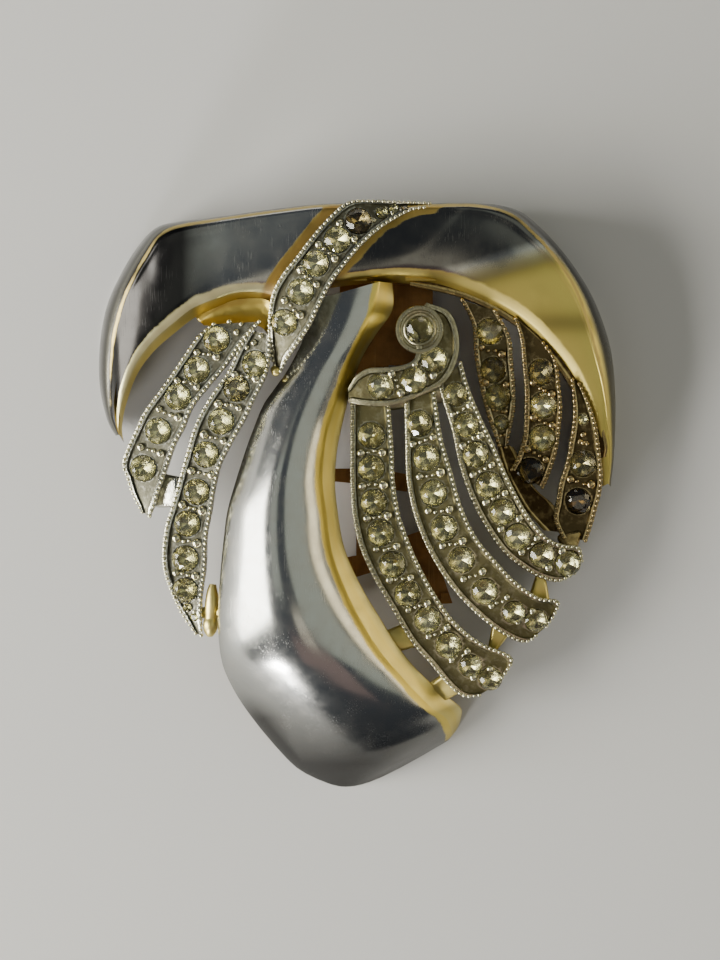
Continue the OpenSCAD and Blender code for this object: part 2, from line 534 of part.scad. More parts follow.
module stones_band() {
    color("khaki") stones(BAND_STONES, BAND, band_lean);
}
module stones_feather_outer() {
    color("khaki") stones(FEATHER_OUTER_STONES, FEATHER_OUTER, feather_lean);
}
module stones_feather_inner() {
    color("khaki") stones(FEATHER_INNER_STONES, FEATHER_INNER, feather_lean);
}
module stones_scroll() {
    color("khaki") {
        on_head() translate([0, 0, stone_lift]) chaton(stone_r);
        stones(SCROLL_STONES, SCROLL, scroll_lean);
    }
}
module stones_rib_a() {
    color("khaki") stones(RIB_A_STONES, RIB_A, front_lean);
}
module stones_rib_b() {
    color("khaki") stones(RIB_B_STONES, RIB_B, front_lean);
}
module stones_rib_c() {
    color("khaki") stones(RIB_C_STONES, RIB_C, front_lean);
}
module stones_rib_d() {
    color("khaki") stones(RIB_D_STONES, RIB_D, back_lean);
}
module stones_rib_e() {
    color("khaki") stones(RIB_E_STONES, RIB_E, back_lean);
}
module stones_rib_f() {
    color("khaki") stones(RIB_F_STONES, RIB_F, back_lean);
}

// Clip: a base with two ears, its pin, and a lever with two cross-bars and two prongs
lever_z = 0.6;
lever_x = [-1.6, 6.4];
base_y = 18.2;
base_len = 4.4;
ear_t = 0.8;
ear_gap = 0.15;
ear_r = 1.25;
knuckle_r = 1.2;
// How far the pin stands out of each ear
pin_out = 0.1;
// Sides of the round parts, and how far a cutter runs past what it cuts
round_sides = 64;
past = 1;
EAR_X = [lever_x[0] - ear_gap - ear_t, lever_x[1] + ear_gap];
ear_h = base_z - hinge_z + base_t / 2;
clip_w = EAR_X[1] + ear_t - EAR_X[0];
lever_w = lever_x[1] - lever_x[0];

// Outline of the lever: a plate at the hinge, a stem, a short cross-bar and a wide one with bent-up tips
LEVER = [
    [-1.6, 19.5], [-1.6, 12.2], [-0.7, 11.3], [-0.2, 11.3],
    [-0.2, 2.4], [-2.2, 2.4], [-2.2, 1.3], [-0.2, 1.1],
    [-0.2, -5.1], [-1.4, -5.3], [-1.8, -6.0], [-3.3, -8.9], [-2.4, -9.4], [-1.0, -7.2],
    [2.6, -6.1], [4.3, -5.3], [6.6, -9.3], [8.1, -9.2],
    [6.9, -5.8], [6.2, -3.6], [5.6, -2.9], [2.6, -3.9],
    [2.6, 0.6], [4.2, 0.4], [4.2, 1.9], [2.6, 2.2],
    [2.6, 11.3], [5.5, 11.3], [6.4, 12.2], [6.4, 19.5]];
PRONGS = [[-2.9, -8.7], [7.1, -8.9]];
prong_size = [0.7, 0.6, 1.1];

// Round bar or bore along the hinge's axis, from a place along X
module on_hinge(x, radius, length) {
    translate([x, hinge_y, hinge_z]) rotate([0, 90, 0]) cylinder(r = radius, h = length, $fn = round_sides);
}
module clip_base() {
    color("darkgoldenrod") difference() {
        union() {
            translate([EAR_X[0], base_y, base_z]) cube([clip_w, base_len, base_t]);
            for (x = EAR_X) {
                translate([x, hinge_y - ear_r, hinge_z]) cube([ear_t, 2 * ear_r, ear_h]);
                on_hinge(x, ear_r, ear_t);
            }
        }
        on_hinge(EAR_X[0] - past, pin_r + pin_gap, clip_w + 2 * past);
    }
}
module hinge_pin() {
    color("goldenrod") on_hinge(EAR_X[0] - pin_out, pin_r, clip_w + 2 * pin_out);
}
module clip_lever() {
    color("peru") difference() {
        union() {
            translate([0, 0, lever_z]) linear_extrude(lever_t) polygon(LEVER);
            on_hinge(lever_x[0], knuckle_r, lever_w);
            for (p = PRONGS) translate([p[0], p[1], lever_z + lever_t / 2]) cube(prong_size);
        }
        on_hinge(lever_x[0] - past, pin_r + pin_gap, lever_w + 2 * past);
    }
}

casting();
stones_band();
stones_feather_outer();
stones_feather_inner();
stones_scroll();
stones_rib_a();
stones_rib_b();
stones_rib_c();
stones_rib_d();
stones_rib_e();
stones_rib_f();
clip_base();
hinge_pin();
clip_lever();
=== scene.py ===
# %% [markdown]
# # A clip brooch
#
# This brooch is a vintage dress clip: one hollow casting, plated in two tones, with rows of cut paste
# stones and a hinged clip behind it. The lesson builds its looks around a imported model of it, which holds
# its real sizes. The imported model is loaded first, and everything made after it is placed in its frame,
# in metres.

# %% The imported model
import json
import math

import bmesh
import bpy
import numpy as np
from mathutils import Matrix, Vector

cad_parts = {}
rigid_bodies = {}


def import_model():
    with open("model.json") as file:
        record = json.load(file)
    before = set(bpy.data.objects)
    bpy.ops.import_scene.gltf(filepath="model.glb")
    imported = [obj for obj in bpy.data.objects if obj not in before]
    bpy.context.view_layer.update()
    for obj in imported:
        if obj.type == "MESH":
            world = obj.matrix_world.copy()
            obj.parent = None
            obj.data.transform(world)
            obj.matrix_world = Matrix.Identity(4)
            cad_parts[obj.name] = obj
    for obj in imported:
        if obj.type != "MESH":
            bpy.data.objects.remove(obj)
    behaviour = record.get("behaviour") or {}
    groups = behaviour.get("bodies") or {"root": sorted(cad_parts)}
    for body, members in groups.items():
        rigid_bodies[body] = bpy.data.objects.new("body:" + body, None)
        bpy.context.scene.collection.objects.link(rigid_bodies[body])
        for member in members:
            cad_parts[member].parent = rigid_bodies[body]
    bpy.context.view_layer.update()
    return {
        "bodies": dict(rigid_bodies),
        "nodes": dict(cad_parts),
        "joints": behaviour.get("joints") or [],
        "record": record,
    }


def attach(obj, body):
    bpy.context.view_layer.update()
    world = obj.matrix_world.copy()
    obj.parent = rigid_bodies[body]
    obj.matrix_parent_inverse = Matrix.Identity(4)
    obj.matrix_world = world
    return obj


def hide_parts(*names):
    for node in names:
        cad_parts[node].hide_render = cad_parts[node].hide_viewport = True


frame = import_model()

print("nodes:", ", ".join(sorted(frame["nodes"])))

# %% [markdown]
# ## The shape in tables
#
# A jeweller's drawing of such a piece gives each bar as a row of cross-sections: where its left and right
# edges are, and how high its top is. These tables do the same, in millimetres, from one end of a bar to
# the other. A smooth curve through the rows gives as many sections between them as a mesh needs, so a few
# rows are enough, and moving one number moves a whole stretch of metal.

# %% Bars that carry stones: left x, left y, right x, right y, top z
MM = 0.001
BAND = [
    (6.0, 25.0, 6.5, 24.6, 8.9), (3.5, 25.1, 4.8, 24.4, 9.4), (1.2, 25.2, 3.2, 23.6, 9.8),
    (-0.8, 25.1, 1.7, 22.6, 10.2), (-2.4, 23.9, 0.2, 21.2, 10.5), (-4.0, 22.1, -1.2, 19.5, 10.6),
    (-5.3, 20.4, -2.3, 18.0, 10.5), (-6.5, 18.9, -3.3, 16.1, 10.3), (-7.4, 17.1, -4.1, 14.4, 10.0),
    (-7.7, 14.7, -5.2, 12.8, 9.5), (-7.6, 12.7, -6.0, 11.7, 8.9), (-7.1, 10.8, -6.6, 10.7, 8.3)]
FEATHER_OUTER = [
    (-12.5, 14.7, -8.3, 14.9, 8.2), (-13.8, 13.6, -9.7, 13.4, 8.1), (-15.0, 11.9, -11.1, 11.3, 7.9),
    (-16.1, 10.3, -12.7, 9.4, 7.7), (-17.2, 8.8, -14.1, 7.6, 7.5), (-18.3, 7.3, -14.8, 5.9, 7.2),
    (-19.0, 5.9, -15.6, 4.4, 6.9), (-20.2, 3.1, -16.5, 1.8, 6.3), (-19.9, 1.7, -17.0, 0.4, 6.0),
    (-19.4, 0.2, -17.4, -0.8, 5.8), (-18.6, -1.3, -17.8, -1.7, 5.6)]
FEATHER_INNER = [
    (-9.3, 14.2, -7.4, 13.8, 8.8), (-10.3, 12.5, -7.5, 11.7, 8.7), (-11.2, 10.6, -7.9, 10.1, 8.5),
    (-12.4, 8.9, -8.8, 8.3, 8.3), (-13.3, 7.5, -9.6, 6.6, 8.0), (-14.1, 5.8, -10.5, 5.0, 7.8),
    (-14.7, 3.8, -11.6, 2.9, 7.5), (-15.3, 1.7, -12.1, 1.1, 7.2), (-15.9, -0.5, -12.5, -1.3, 6.9),
    (-16.6, -2.9, -12.9, -3.5, 6.6), (-16.8, -5.6, -13.0, -6.1, 6.2), (-16.3, -7.7, -13.3, -8.2, 5.9),
    (-15.3, -9.9, -13.4, -10.1, 5.6), (-14.0, -11.7, -13.4, -11.9, 5.4)]
SCROLL = [
    (4.0, 14.2, 5.8, 16.5, 9.7), (4.6, 13.6, 7.7, 15.7, 9.6), (4.9, 12.9, 8.5, 13.8, 9.6),
    (4.9, 12.2, 8.4, 11.7, 9.6), (4.5, 11.5, 7.3, 9.7, 9.7), (3.3, 11.1, 5.1, 8.5, 9.7),
    (2.0, 11.0, 3.1, 7.8, 9.6), (0.8, 10.9, 1.5, 7.7, 9.4), (-0.2, 10.3, 0.3, 7.8, 9.2),
    (-0.9, 9.2, -0.8, 8.0, 8.9)]
RIB_A = [
    (-0.7, 7.8, 2.7, 7.8, 8.2), (-0.7, 3.9, 3.0, 4.0, 8.3), (-0.7, 1.4, 3.1, 1.4, 8.2),
    (-0.5, -1.6, 3.5, -1.3, 8.1), (0.1, -4.3, 4.3, -3.7, 7.9), (1.2, -6.8, 5.4, -6.2, 7.6),
    (2.7, -9.4, 6.8, -8.7, 7.2), (4.4, -12.3, 8.3, -10.7, 6.7), (6.2, -14.4, 10.5, -12.5, 6.2),
    (7.7, -16.2, 13.1, -13.7, 5.7), (8.9, -17.1, 12.8, -14.9, 5.4), (10.2, -17.1, 11.9, -16.1, 5.2)]
RIB_B = [
    (3.9, 8.3, 6.6, 8.9, 8.3), (4.0, 4.4, 7.1, 5.3, 8.4), (4.1, 1.4, 8.0, 2.1, 8.3),
    (4.7, -1.5, 8.9, -1.0, 8.1), (5.7, -4.1, 10.1, -3.5, 7.8), (7.1, -6.6, 11.6, -5.3, 7.4),
    (8.9, -8.9, 13.4, -7.2, 6.9), (11.2, -11.0, 15.4, -8.6, 6.3), (13.1, -12.2, 17.1, -8.9, 5.7),
    (14.3, -12.5, 16.9, -9.9, 5.4), (15.1, -12.0, 16.2, -11.0, 5.2)]
RIB_C = [
    (6.8, 9.5, 8.8, 11.5, 8.6), (7.3, 7.8, 9.5, 9.1, 8.5), (8.0, 5.5, 10.5, 6.7, 8.4),
    (8.6, 2.7, 11.5, 4.6, 8.2), (9.5, 0.0, 12.8, 1.6, 7.9), (10.7, -2.4, 14.1, -0.9, 7.5),
    (12.3, -4.7, 15.2, -2.5, 7.1), (14.0, -6.1, 16.3, -3.6, 6.6), (15.6, -7.0, 17.6, -4.1, 6.1),
    (17.1, -7.3, 18.9, -4.3, 5.7), (18.4, -6.7, 19.2, -5.4, 5.4)]
RIB_D = [
    (8.7, 16.8, 11.8, 15.8, 7.6), (9.7, 14.7, 13.0, 13.5, 7.1), (9.9, 12.1, 13.2, 11.5, 6.8),
    (10.3, 9.8, 13.4, 9.4, 6.5), (10.7, 8.0, 13.4, 7.6, 6.3), (11.3, 6.1, 13.1, 5.8, 6.0),
    (12.0, 4.4, 12.7, 4.2, 5.7)]
RIB_E = [
    (13.3, 15.3, 15.9, 13.0, 7.2), (13.8, 13.6, 16.9, 11.5, 7.0), (14.0, 11.7, 17.2, 9.5, 6.8),
    (14.2, 9.4, 17.4, 7.8, 6.6), (14.2, 7.4, 17.3, 6.0, 6.3), (14.1, 5.3, 17.0, 3.8, 6.0),
    (13.6, 3.5, 16.4, 1.9, 5.7), (13.0, 2.4, 15.9, 0.7, 5.4)]
RIB_F = [
    (18.2, 10.0, 18.9, 9.6, 6.6), (18.3, 8.3, 19.8, 7.8, 6.5), (18.3, 6.4, 20.4, 5.9, 6.3),
    (18.0, 4.4, 20.7, 3.8, 6.0), (17.7, 2.8, 20.9, 1.9, 5.8), (17.2, 1.2, 20.8, 0.4, 5.6),
    (16.9, -0.6, 20.5, -0.8, 5.4), (16.7, -2.0, 20.1, -2.3, 5.2), (17.4, -3.5, 19.6, -3.8, 5.1)]

# %% Plain pieces between the back ribs, with the same columns
VALLEY = [
    (11.7, 4.9, 13.3, 4.2, 5.3), (12.4, 2.6, 15.0, 0.9, 5.1), (13.3, 0.6, 16.6, -0.6, 4.9),
    (14.3, -1.1, 17.6, -1.9, 4.8), (15.9, -2.9, 18.6, -3.2, 4.7)]
LEDGE = [
    (4.4, 18.0, 4.4, 19.4, 7.6), (9.0, 16.9, 9.8, 18.4, 7.3), (12.8, 15.0, 13.8, 16.3, 7.0),
    (15.8, 12.4, 17.0, 13.5, 6.6), (18.2, 9.2, 19.5, 9.9, 6.1), (20.2, 4.8, 21.2, 5.0, 5.6),
    (20.3, 3.2, 21.2, 3.4, 5.3)]

# %% Shoulders: inner edge, crease and outer edge, each x, y and z
SHOULDER_LEFT = [
    (-6.3, 16.8, 8.6, -0.6, 24.8, 9.6, -0.4, 25.1, 3.2),
    (-8.3, 17.4, 8.8, -3.5, 24.7, 9.5, -3.3, 25.0, 3.2),
    (-10.3, 17.4, 8.9, -7.6, 24.2, 9.2, -7.4, 24.6, 3.0),
    (-12.3, 16.8, 8.8, -11.8, 23.6, 8.9, -11.8, 24.0, 2.6),
    (-14.2, 16.0, 8.6, -15.3, 23.0, 8.5, -15.6, 23.6, 2.0),
    (-15.9, 14.7, 8.2, -17.0, 22.2, 8.1, -17.5, 23.1, 1.4),
    (-17.2, 13.6, 7.8, -18.1, 20.6, 7.7, -19.0, 21.6, 0.6),
    (-18.3, 12.4, 7.3, -19.2, 18.7, 7.3, -20.5, 19.3, -0.4),
    (-19.2, 11.0, 6.8, -20.1, 16.7, 6.7, -21.8, 16.4, -0.8),
    (-19.9, 9.3, 6.2, -20.9, 13.8, 5.9, -22.4, 13.0, -0.8),
    (-20.4, 7.6, 5.5, -21.2, 10.6, 4.8, -22.4, 9.5, -0.8),
    (-20.6, 5.9, 4.6, -21.2, 7.2, 3.4, -21.7, 6.6, 0.2),
    (-20.3, 4.9, 4.1, -20.55, 5.3, 3.6, -20.9, 5.2, 1.6)]
SHOULDER_RIGHT = [
    (-3.4, 18.2, 8.8, 2.6, 24.8, 9.2, 2.6, 25.1, 3.2), (1.8, 18.8, 8.9, 7.8, 24.8, 9.3, 7.9, 25.1, 3.2),
    (4.4, 18.8, 8.8, 9.7, 24.8, 9.2, 9.9, 25.1, 3.0), (7.0, 18.5, 8.6, 11.6, 24.5, 9.1, 12.0, 25.0, 2.8),
    (9.4, 17.7, 8.4, 13.3, 23.8, 8.9, 13.9, 24.5, 2.2), (11.4, 16.8, 8.2, 14.7, 22.6, 8.7, 15.5, 23.3, 1.6),
    (13.4, 15.7, 7.9, 16.1, 21.2, 8.4, 17.1, 21.7, 0.8),
    (15.2, 14.3, 7.6, 17.4, 19.5, 8.1, 18.7, 19.7, 0.0),
    (16.6, 12.8, 7.2, 18.6, 17.5, 7.7, 20.1, 17.5, -0.6),
    (17.9, 11.2, 6.8, 19.5, 15.1, 7.3, 21.2, 14.9, -0.8),
    (19.0, 9.4, 6.4, 20.3, 12.4, 6.8, 21.9, 12.3, -0.8), (20.0, 7.3, 6.0, 21.0, 9.4, 6.3, 22.2, 9.3, -0.8),
    (20.6, 5.0, 5.6, 21.4, 6.4, 5.6, 22.2, 6.2, -0.4), (20.9, 2.7, 5.0, 21.6, 3.5, 4.8, 22.0, 3.3, 0.8),
    (21.0, 0.9, 4.3, 21.4, 1.1, 4.1, 21.7, 0.8, 2.2)]

# %% Drop: left edge x, y, z, crest height, then the rim's inner and outer edges, each x, y and z
DROP = [
    (-3.5, 16.8, 8.4, 9.0, 1.8, 18.3, 8.5, 2.9, 18.2, 7.2),
    (-4.7, 13.4, 8.4, 9.6, 1.3, 15.9, 8.7, 2.9, 15.9, 7.3),
    (-5.9, 11.0, 8.3, 10.0, 0.3, 13.6, 8.9, 1.5, 13.8, 7.5),
    (-7.0, 9.4, 8.2, 10.3, -0.7, 11.5, 9.0, 0.3, 11.8, 7.7),
    (-8.1, 7.8, 8.1, 10.5, -1.5, 9.1, 9.0, -0.6, 9.3, 7.8),
    (-8.9, 5.9, 8.0, 10.7, -2.4, 6.5, 9.0, -1.3, 6.5, 7.8),
    (-9.6, 4.0, 7.9, 10.9, -2.9, 4.1, 9.0, -1.8, 4.1, 7.8),
    (-10.5, 1.2, 7.8, 11.1, -3.1, 1.4, 8.9, -2.0, 1.4, 7.7),
    (-11.2, -1.4, 7.7, 11.2, -2.8, -1.1, 8.8, -1.8, -1.0, 7.6),
    (-11.6, -4.6, 7.4, 11.3, -2.3, -4.7, 8.6, -1.2, -4.4, 7.4),
    (-11.9, -8.0, 7.0, 11.2, -1.1, -8.0, 8.3, 0.2, -7.6, 7.1),
    (-12.0, -11.2, 6.4, 10.8, 0.3, -10.8, 7.9, 1.8, -10.3, 6.6),
    (-11.7, -14.1, 5.4, 10.1, 1.8, -13.2, 7.4, 3.3, -12.7, 6.1),
    (-10.9, -16.2, 4.2, 9.2, 3.3, -15.0, 6.7, 4.7, -14.5, 5.4),
    (-9.6, -18.4, 2.8, 8.1, 4.8, -16.7, 5.8, 6.2, -16.0, 4.5),
    (-7.7, -20.9, 1.3, 6.7, 6.3, -18.2, 4.6, 7.6, -17.2, 3.4),
    (-5.5, -23.3, 0.1, 5.3, 7.4, -19.0, 3.2, 8.8, -18.2, 2.2),
    (-3.5, -24.6, -0.3, 4.0, 7.9, -19.9, 2.2, 8.8, -19.2, 1.2),
    (-1.5, -25.3, -0.4, 2.0, 8.0, -20.6, 1.0, 8.5, -20.1, 0.2),
    (0.8, -25.2, -0.6, -0.4, 7.6, -21.3, -0.5, 7.9, -21.0, -0.8)]

# %% [markdown]
# ## Which stones sit where
#
# The paste stones are round and nearly all of one size, as a setter would buy them by the gross. Each row
# of a table is a stone: its x, its y and its radius. A bar also has a lean, which is how much higher its
# right edge is than its left one, and a tint from 0 for clean silver to 1 for the brown of old dirt.

# %% Stones of each bar: x, y and radius
R = 1.05
STONES = {
    "band": [(3.9, 24.4, 0.3), (3.0, 24.4, 0.42), (2.0, 24.1, 0.5), (0.0, 23.4, R), (-1.8, 21.8, R),
             (-3.6, 19.8, R), (-4.9, 17.4, R), (-6.3, 14.8, R)],
    "feather_outer": [(-12.1, 13.4, R), (-13.8, 10.8, R), (-15.4, 8.5, R), (-17.1, 5.6, R),
                      (-18.4, 2.4, R)],
    "feather_inner": [(-8.8, 11.3, R), (-10.4, 9.2, R), (-11.7, 6.4, R), (-13.0, 3.6, R), (-13.8, 0.4, R),
                      (-14.6, -2.3, R), (-14.8, -5.3, R), (-14.8, -8.0, 1.0), (-14.6, -9.45, 0.35),
                      (-14.0, -10.3, 0.35)],
    "scroll": [(5.2, 14.2, R), (6.4, 11.6, R), (4.7, 9.9, R), (1.9, 9.4, R)],
    "rib_a": [(1.1, 5.2, R), (1.1, 2.4, R), (1.3, -0.5, R), (1.9, -3.1, R), (2.9, -5.8, R), (4.2, -8.3, R),
              (5.9, -10.5, R), (7.7, -12.7, R), (9.6, -14.5, 0.93), (11.3, -15.6, 0.93)],
    "rib_b": [(5.2, 6.2, R), (5.8, 3.3, R), (6.4, 0.3, R), (7.3, -2.7, R), (8.8, -5.4, R), (10.8, -8.1, R),
              (13.3, -9.9, 0.93), (15.2, -10.6, 0.93)],
    "rib_c": [(8.3, 8.7, 0.95), (9.2, 6.1, 1.0), (10.0, 3.6, R), (11.1, 1.0, R), (12.3, -1.3, R),
              (13.6, -3.4, R), (15.7, -5.0, R), (17.9, -5.7, R)],
    "rib_d": [(11.2, 14.1, R), (11.5, 10.8, R), (11.9, 8.5, R), (12.2, 6.3, 0.6)],
    "rib_e": [(15.6, 10.6, R), (15.8, 7.8, R), (15.7, 5.0, R), (14.7, 2.2, R)],
    "rib_f": [(19.2, 6.6, 0.43), (19.2, 2.8, R), (18.8, -0.4, R)]}

# %% Bars by name: table, lean and tint
BARS = {
    "band": (BAND, 0.4, 0.05), "feather_outer": (FEATHER_OUTER, 0.7, 0.0),
    "feather_inner": (FEATHER_INNER, 0.7, 0.0), "scroll": (SCROLL, -0.2, 0.3),
    "rib_a": (RIB_A, 0.3, 0.2), "rib_b": (RIB_B, 0.3, 0.2), "rib_c": (RIB_C, 0.3, 0.25),
    "rib_d": (RIB_D, -0.3, 0.6), "rib_e": (RIB_E, -0.3, 0.8), "rib_f": (RIB_F, -0.3, 0.8)}
print("stones:", sum(len(s) for s in STONES.values()))

# %% [markdown]
# ## From tables to metal
#
# Two helpers do most of the work. `smooth` runs a spline through the rows of a table, which passes
# through every row and needs no handles. `slab` closes the space between an upper and a lower grid of
# points, and that one solid serves both a bar and a bent shell. A mesh made this way has known rows and
# columns, so a mask such as "this is the gilt rim" is just a number for each point, kept as an attribute
# for the material.

# %% Helpers for curves and closed solids
SHARP_DEG = 34


def smooth(rows, steps):
    """The table's rows as steps + 1 rows on a smooth curve through them."""
    rows = np.array(rows, float)
    last = len(rows) - 1
    t = np.linspace(0, last, steps + 1)
    k = np.minimum(t.astype(int), last - 1)
    u = (t - k).reshape(-1, *[1] * (rows.ndim - 1))
    a, b, c, d = (rows[np.clip(k + i, 0, last)] for i in (-1, 0, 1, 2))
    return 0.5 * (2 * b + (c - a) * u + (2 * a - 5 * b + 4 * c - d) * u**2 + (3 * b - a - 3 * c + d) * u**3)


def unit(v):
    """Vectors of length one."""
    return v / np.maximum(np.linalg.norm(v, axis=-1, keepdims=True), 1e-9)


def grid_normals(grid):
    """Normals of a grid of points."""
    return unit(np.cross(np.gradient(grid, axis=0), np.gradient(grid, axis=1)))


def slab(upper, lower):
    """Points and faces of the closed solid between two grids of one size."""
    n, m = upper.shape[:2]
    up = np.arange(n * m).reshape(n, m)
    low = up + n * m

    def quads(a, b):
        """Faces between two lists of point numbers that run side by side."""
        return np.stack([a[:-1], a[1:], b[1:], b[:-1]], -1).reshape(-1, 4)

    faces = [quads(up[i], up[i + 1]) for i in range(n - 1)]
    faces += [quads(low[i + 1], low[i]) for i in range(n - 1)]
    faces += [quads(low[:, 0], up[:, 0]), quads(up[:, -1], low[:, -1])]
    faces += [quads(low[0], up[0])[:, ::-1], quads(up[-1], low[-1])[:, ::-1]]
    return np.concatenate([upper.reshape(-1, 3), lower.reshape(-1, 3)]), np.concatenate(faces)


def linked(name, data):
    """An object with its data, linked into the scene."""
    made = bpy.data.objects.new(name, data)
    bpy.context.collection.objects.link(made)
    return made


def mesh_of(name, points, edges=(), faces=()):
    """A mesh in metres from points in millimetres."""
    mesh = bpy.data.meshes.new(name)
    mesh.from_pydata((np.asarray(points) * MM).tolist(), edges, faces)
    return mesh


def keep(mesh, key, values, kind="FLOAT", field="value"):
    """Keeps a number or a vector for each point of a mesh as an attribute. One number serves them all."""
    flat = np.ravel(values) if np.ndim(values) else np.full(len(mesh.vertices), values)
    mesh.attributes.new(key, kind, "POINT").data.foreach_set(field, flat.astype(np.float32))


def face_outwards(mesh):
    """Turns the faces of a closed mesh outwards."""
    bm = bmesh.new()
    bm.from_mesh(mesh)
    bmesh.ops.recalc_face_normals(bm, faces=bm.faces)
    if bm.calc_volume(signed=True) < 0:
        bmesh.ops.reverse_faces(bm, faces=bm.faces)
    bm.to_mesh(mesh)
    bm.free()


def solid(name, points, faces, masks, sharp_deg=SHARP_DEG):
    """A mesh object of a closed form, with its faces outwards and a mask for each point."""
    mesh = mesh_of(name, points, faces=[[int(i) for i in f] for f in faces])
    for mask, values in masks.items():
        keep(mesh, mask, values)
    face_outwards(mesh)
    mesh.shade_smooth()
    mesh.set_sharp_from_angle(angle=math.radians(sharp_deg))
    return linked(name, mesh)


def bake_modifiers(piece):
    """Turns a piece with its modifiers into plain mesh."""
    graph = bpy.context.evaluated_depsgraph_get()
    made = piece.evaluated_get(graph)
    made = bpy.data.meshes.new_from_object(made, preserve_all_data_layers=True, depsgraph=graph)
    piece.modifiers.clear()
    piece.data = made


def carve(piece, points, faces):
    """Cuts a closed form, given in millimetres, out of a piece."""
    cutter = linked("cutter", mesh_of("cutter", points, faces=faces))
    cut = piece.modifiers.new("cut", "BOOLEAN")
    cut.operation = "DIFFERENCE"
    cut.solver = "MANIFOLD"
    cut.object = cutter
    bake_modifiers(piece)
    bpy.data.objects.remove(cutter)
    piece.data.set_sharp_from_angle(angle=math.radians(SHARP_DEG))


CUT = 60
BOX_CORNERS = [(x, y, z) for z in (-CUT, 0) for y in (-CUT, CUT) for x in (-CUT, CUT)]
BOX_FACES = [(0, 2, 3, 1), (4, 5, 7, 6), (0, 1, 5, 4), (1, 3, 7, 5), (3, 2, 6, 7), (2, 0, 4, 6)]


def cut_flat(piece):
    """Cuts away all that lies below the plane that the brooch rests on."""
    carve(piece, BOX_CORNERS, BOX_FACES)


def finish_piece(piece, material=None, node="casting"):
    """Gives a piece its material, puts it on the brooch's body and hides the node that it stands in for."""
    if material:
        piece.data.materials.clear()
        piece.data.materials.append(material)
    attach(piece, "brooch")
    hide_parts(node)


# %% [markdown]
# ## Finishes
#
# The real clip is cast, polished, plated with rhodium and then gilded on its rims and inner walls.
# Decades of wear leave hair-fine scratches and thin gilding. Painted shade darkens the plate in its
# recesses and under the shell, and painted dark reflections darken the shoulders' sides and ends and the
# drop's lower
# end. One node group makes the scratches: noise that is stretched about eighty times turns into lines, and
# three directions of it cross. Another makes soft blotches for grime. Both are placed in several metals
# with their own values.

# %% Node helpers
def put(tree, socket, value):
    """Links a node's input to a socket, or sets its value."""
    if isinstance(value, bpy.types.NodeSocket):
        tree.links.new(value, socket)
    else:
        socket.default_value = value


def feed(tree, node, **inputs):
    """Sets or links a node's inputs by name, where an underscore stands for a space."""
    for key, value in inputs.items():
        put(tree, node.inputs[key.replace("_", " ")], value)


def add(tree, kind, **values):
    """A node of a kind. A key in small letters sets a property, and any other key an input."""
    made = tree.nodes.new(kind)
    for key, value in values.items():
        if key.islower():
            setattr(made, key, value)
        else:
            feed(tree, made, **{key: value})
    return made


def maths(tree, operation, a, b, clamp=False):
    """The output of a maths node on two values or sockets."""
    made = add(tree, "ShaderNodeMath", operation=operation, use_clamp=clamp)
    put(tree, made.inputs[0], a)
    put(tree, made.inputs[1], b)
    return made.outputs[0]


def times(tree, a, b):
    """The product of two values or sockets."""
    return maths(tree, "MULTIPLY", a, b)


def plus(tree, base, value, share):
    """A base with a share of a value added to it."""
    return maths(tree, "ADD", base, times(tree, value, share))


def blend_colours(tree, factor, a, b):
    """The colour between two colours or colour sockets."""
    made = add(tree, "ShaderNodeMix", data_type="RGBA")
    put(tree, made.inputs[0], factor)
    for index, colour in ((6, a), (7, b)):
        put(tree, made.inputs[index], (*colour, 1) if isinstance(colour, tuple) else colour)
    return made.outputs[2]


def spread(tree, value, low, high, to_low=0.0, to_high=1.0):
    """A value mapped from one range to another, held inside it."""
    made = add(tree, "ShaderNodeMapRange", clamp=True, Value=value, From_Min=low, From_Max=high,
               To_Min=to_low, To_Max=to_high)
    return made.outputs[0]


def object_place(tree):
    """Where a point lies in its own mesh."""
    return add(tree, "ShaderNodeTexCoord").outputs["Object"]


def noise(tree, place, scale, detail, roughness=0.5):
    """Soft noise from 0 to 1."""
    made = add(tree, "ShaderNodeTexNoise", Vector=place, Scale=scale, Detail=detail, Roughness=roughness)
    return made.outputs[0]


def bump(tree, shader, height, strength, distance):
    """Bumps a shader's surface by a height."""
    made = add(tree, "ShaderNodeBump", Strength=strength, Distance=distance, Height=height)
    feed(tree, shader, Normal=made.outputs[0])


def new_tree(kind, name, inputs, output, output_kind):
    """A node group with named inputs and one output, with its two end nodes."""
    tree = bpy.data.node_groups.new(name, kind)
    for key, (socket_kind, value) in inputs.items():
        socket = tree.interface.new_socket(key, in_out="INPUT", socket_type="NodeSocket" + socket_kind)
        if value is not None:
            socket.default_value = value
    tree.interface.new_socket(output, in_out="OUTPUT", socket_type="NodeSocket" + output_kind)
    return tree, tree.nodes.new("NodeGroupInput"), tree.nodes.new("NodeGroupOutput")


def effect_tree(name, output, **inputs):
    """An empty shader group with float inputs and one output."""
    inputs = {key: ("Float", value) for key, value in inputs.items()}
    return new_tree("ShaderNodeTree", name, inputs, output, "Float")


def effect(tree, group, **inputs):
    """The output of a shared effect that is placed with its own values."""
    return add(tree, "ShaderNodeGroup", node_tree=group, **inputs).outputs[0]


# %% Shared effects: crossing scratches, and blotches
SCRATCH_TURNS = ((0.35, 0.1), (1.9, -0.2), (2.75, 0.3))
STRETCH = (1.0, 0.012, 1.0)


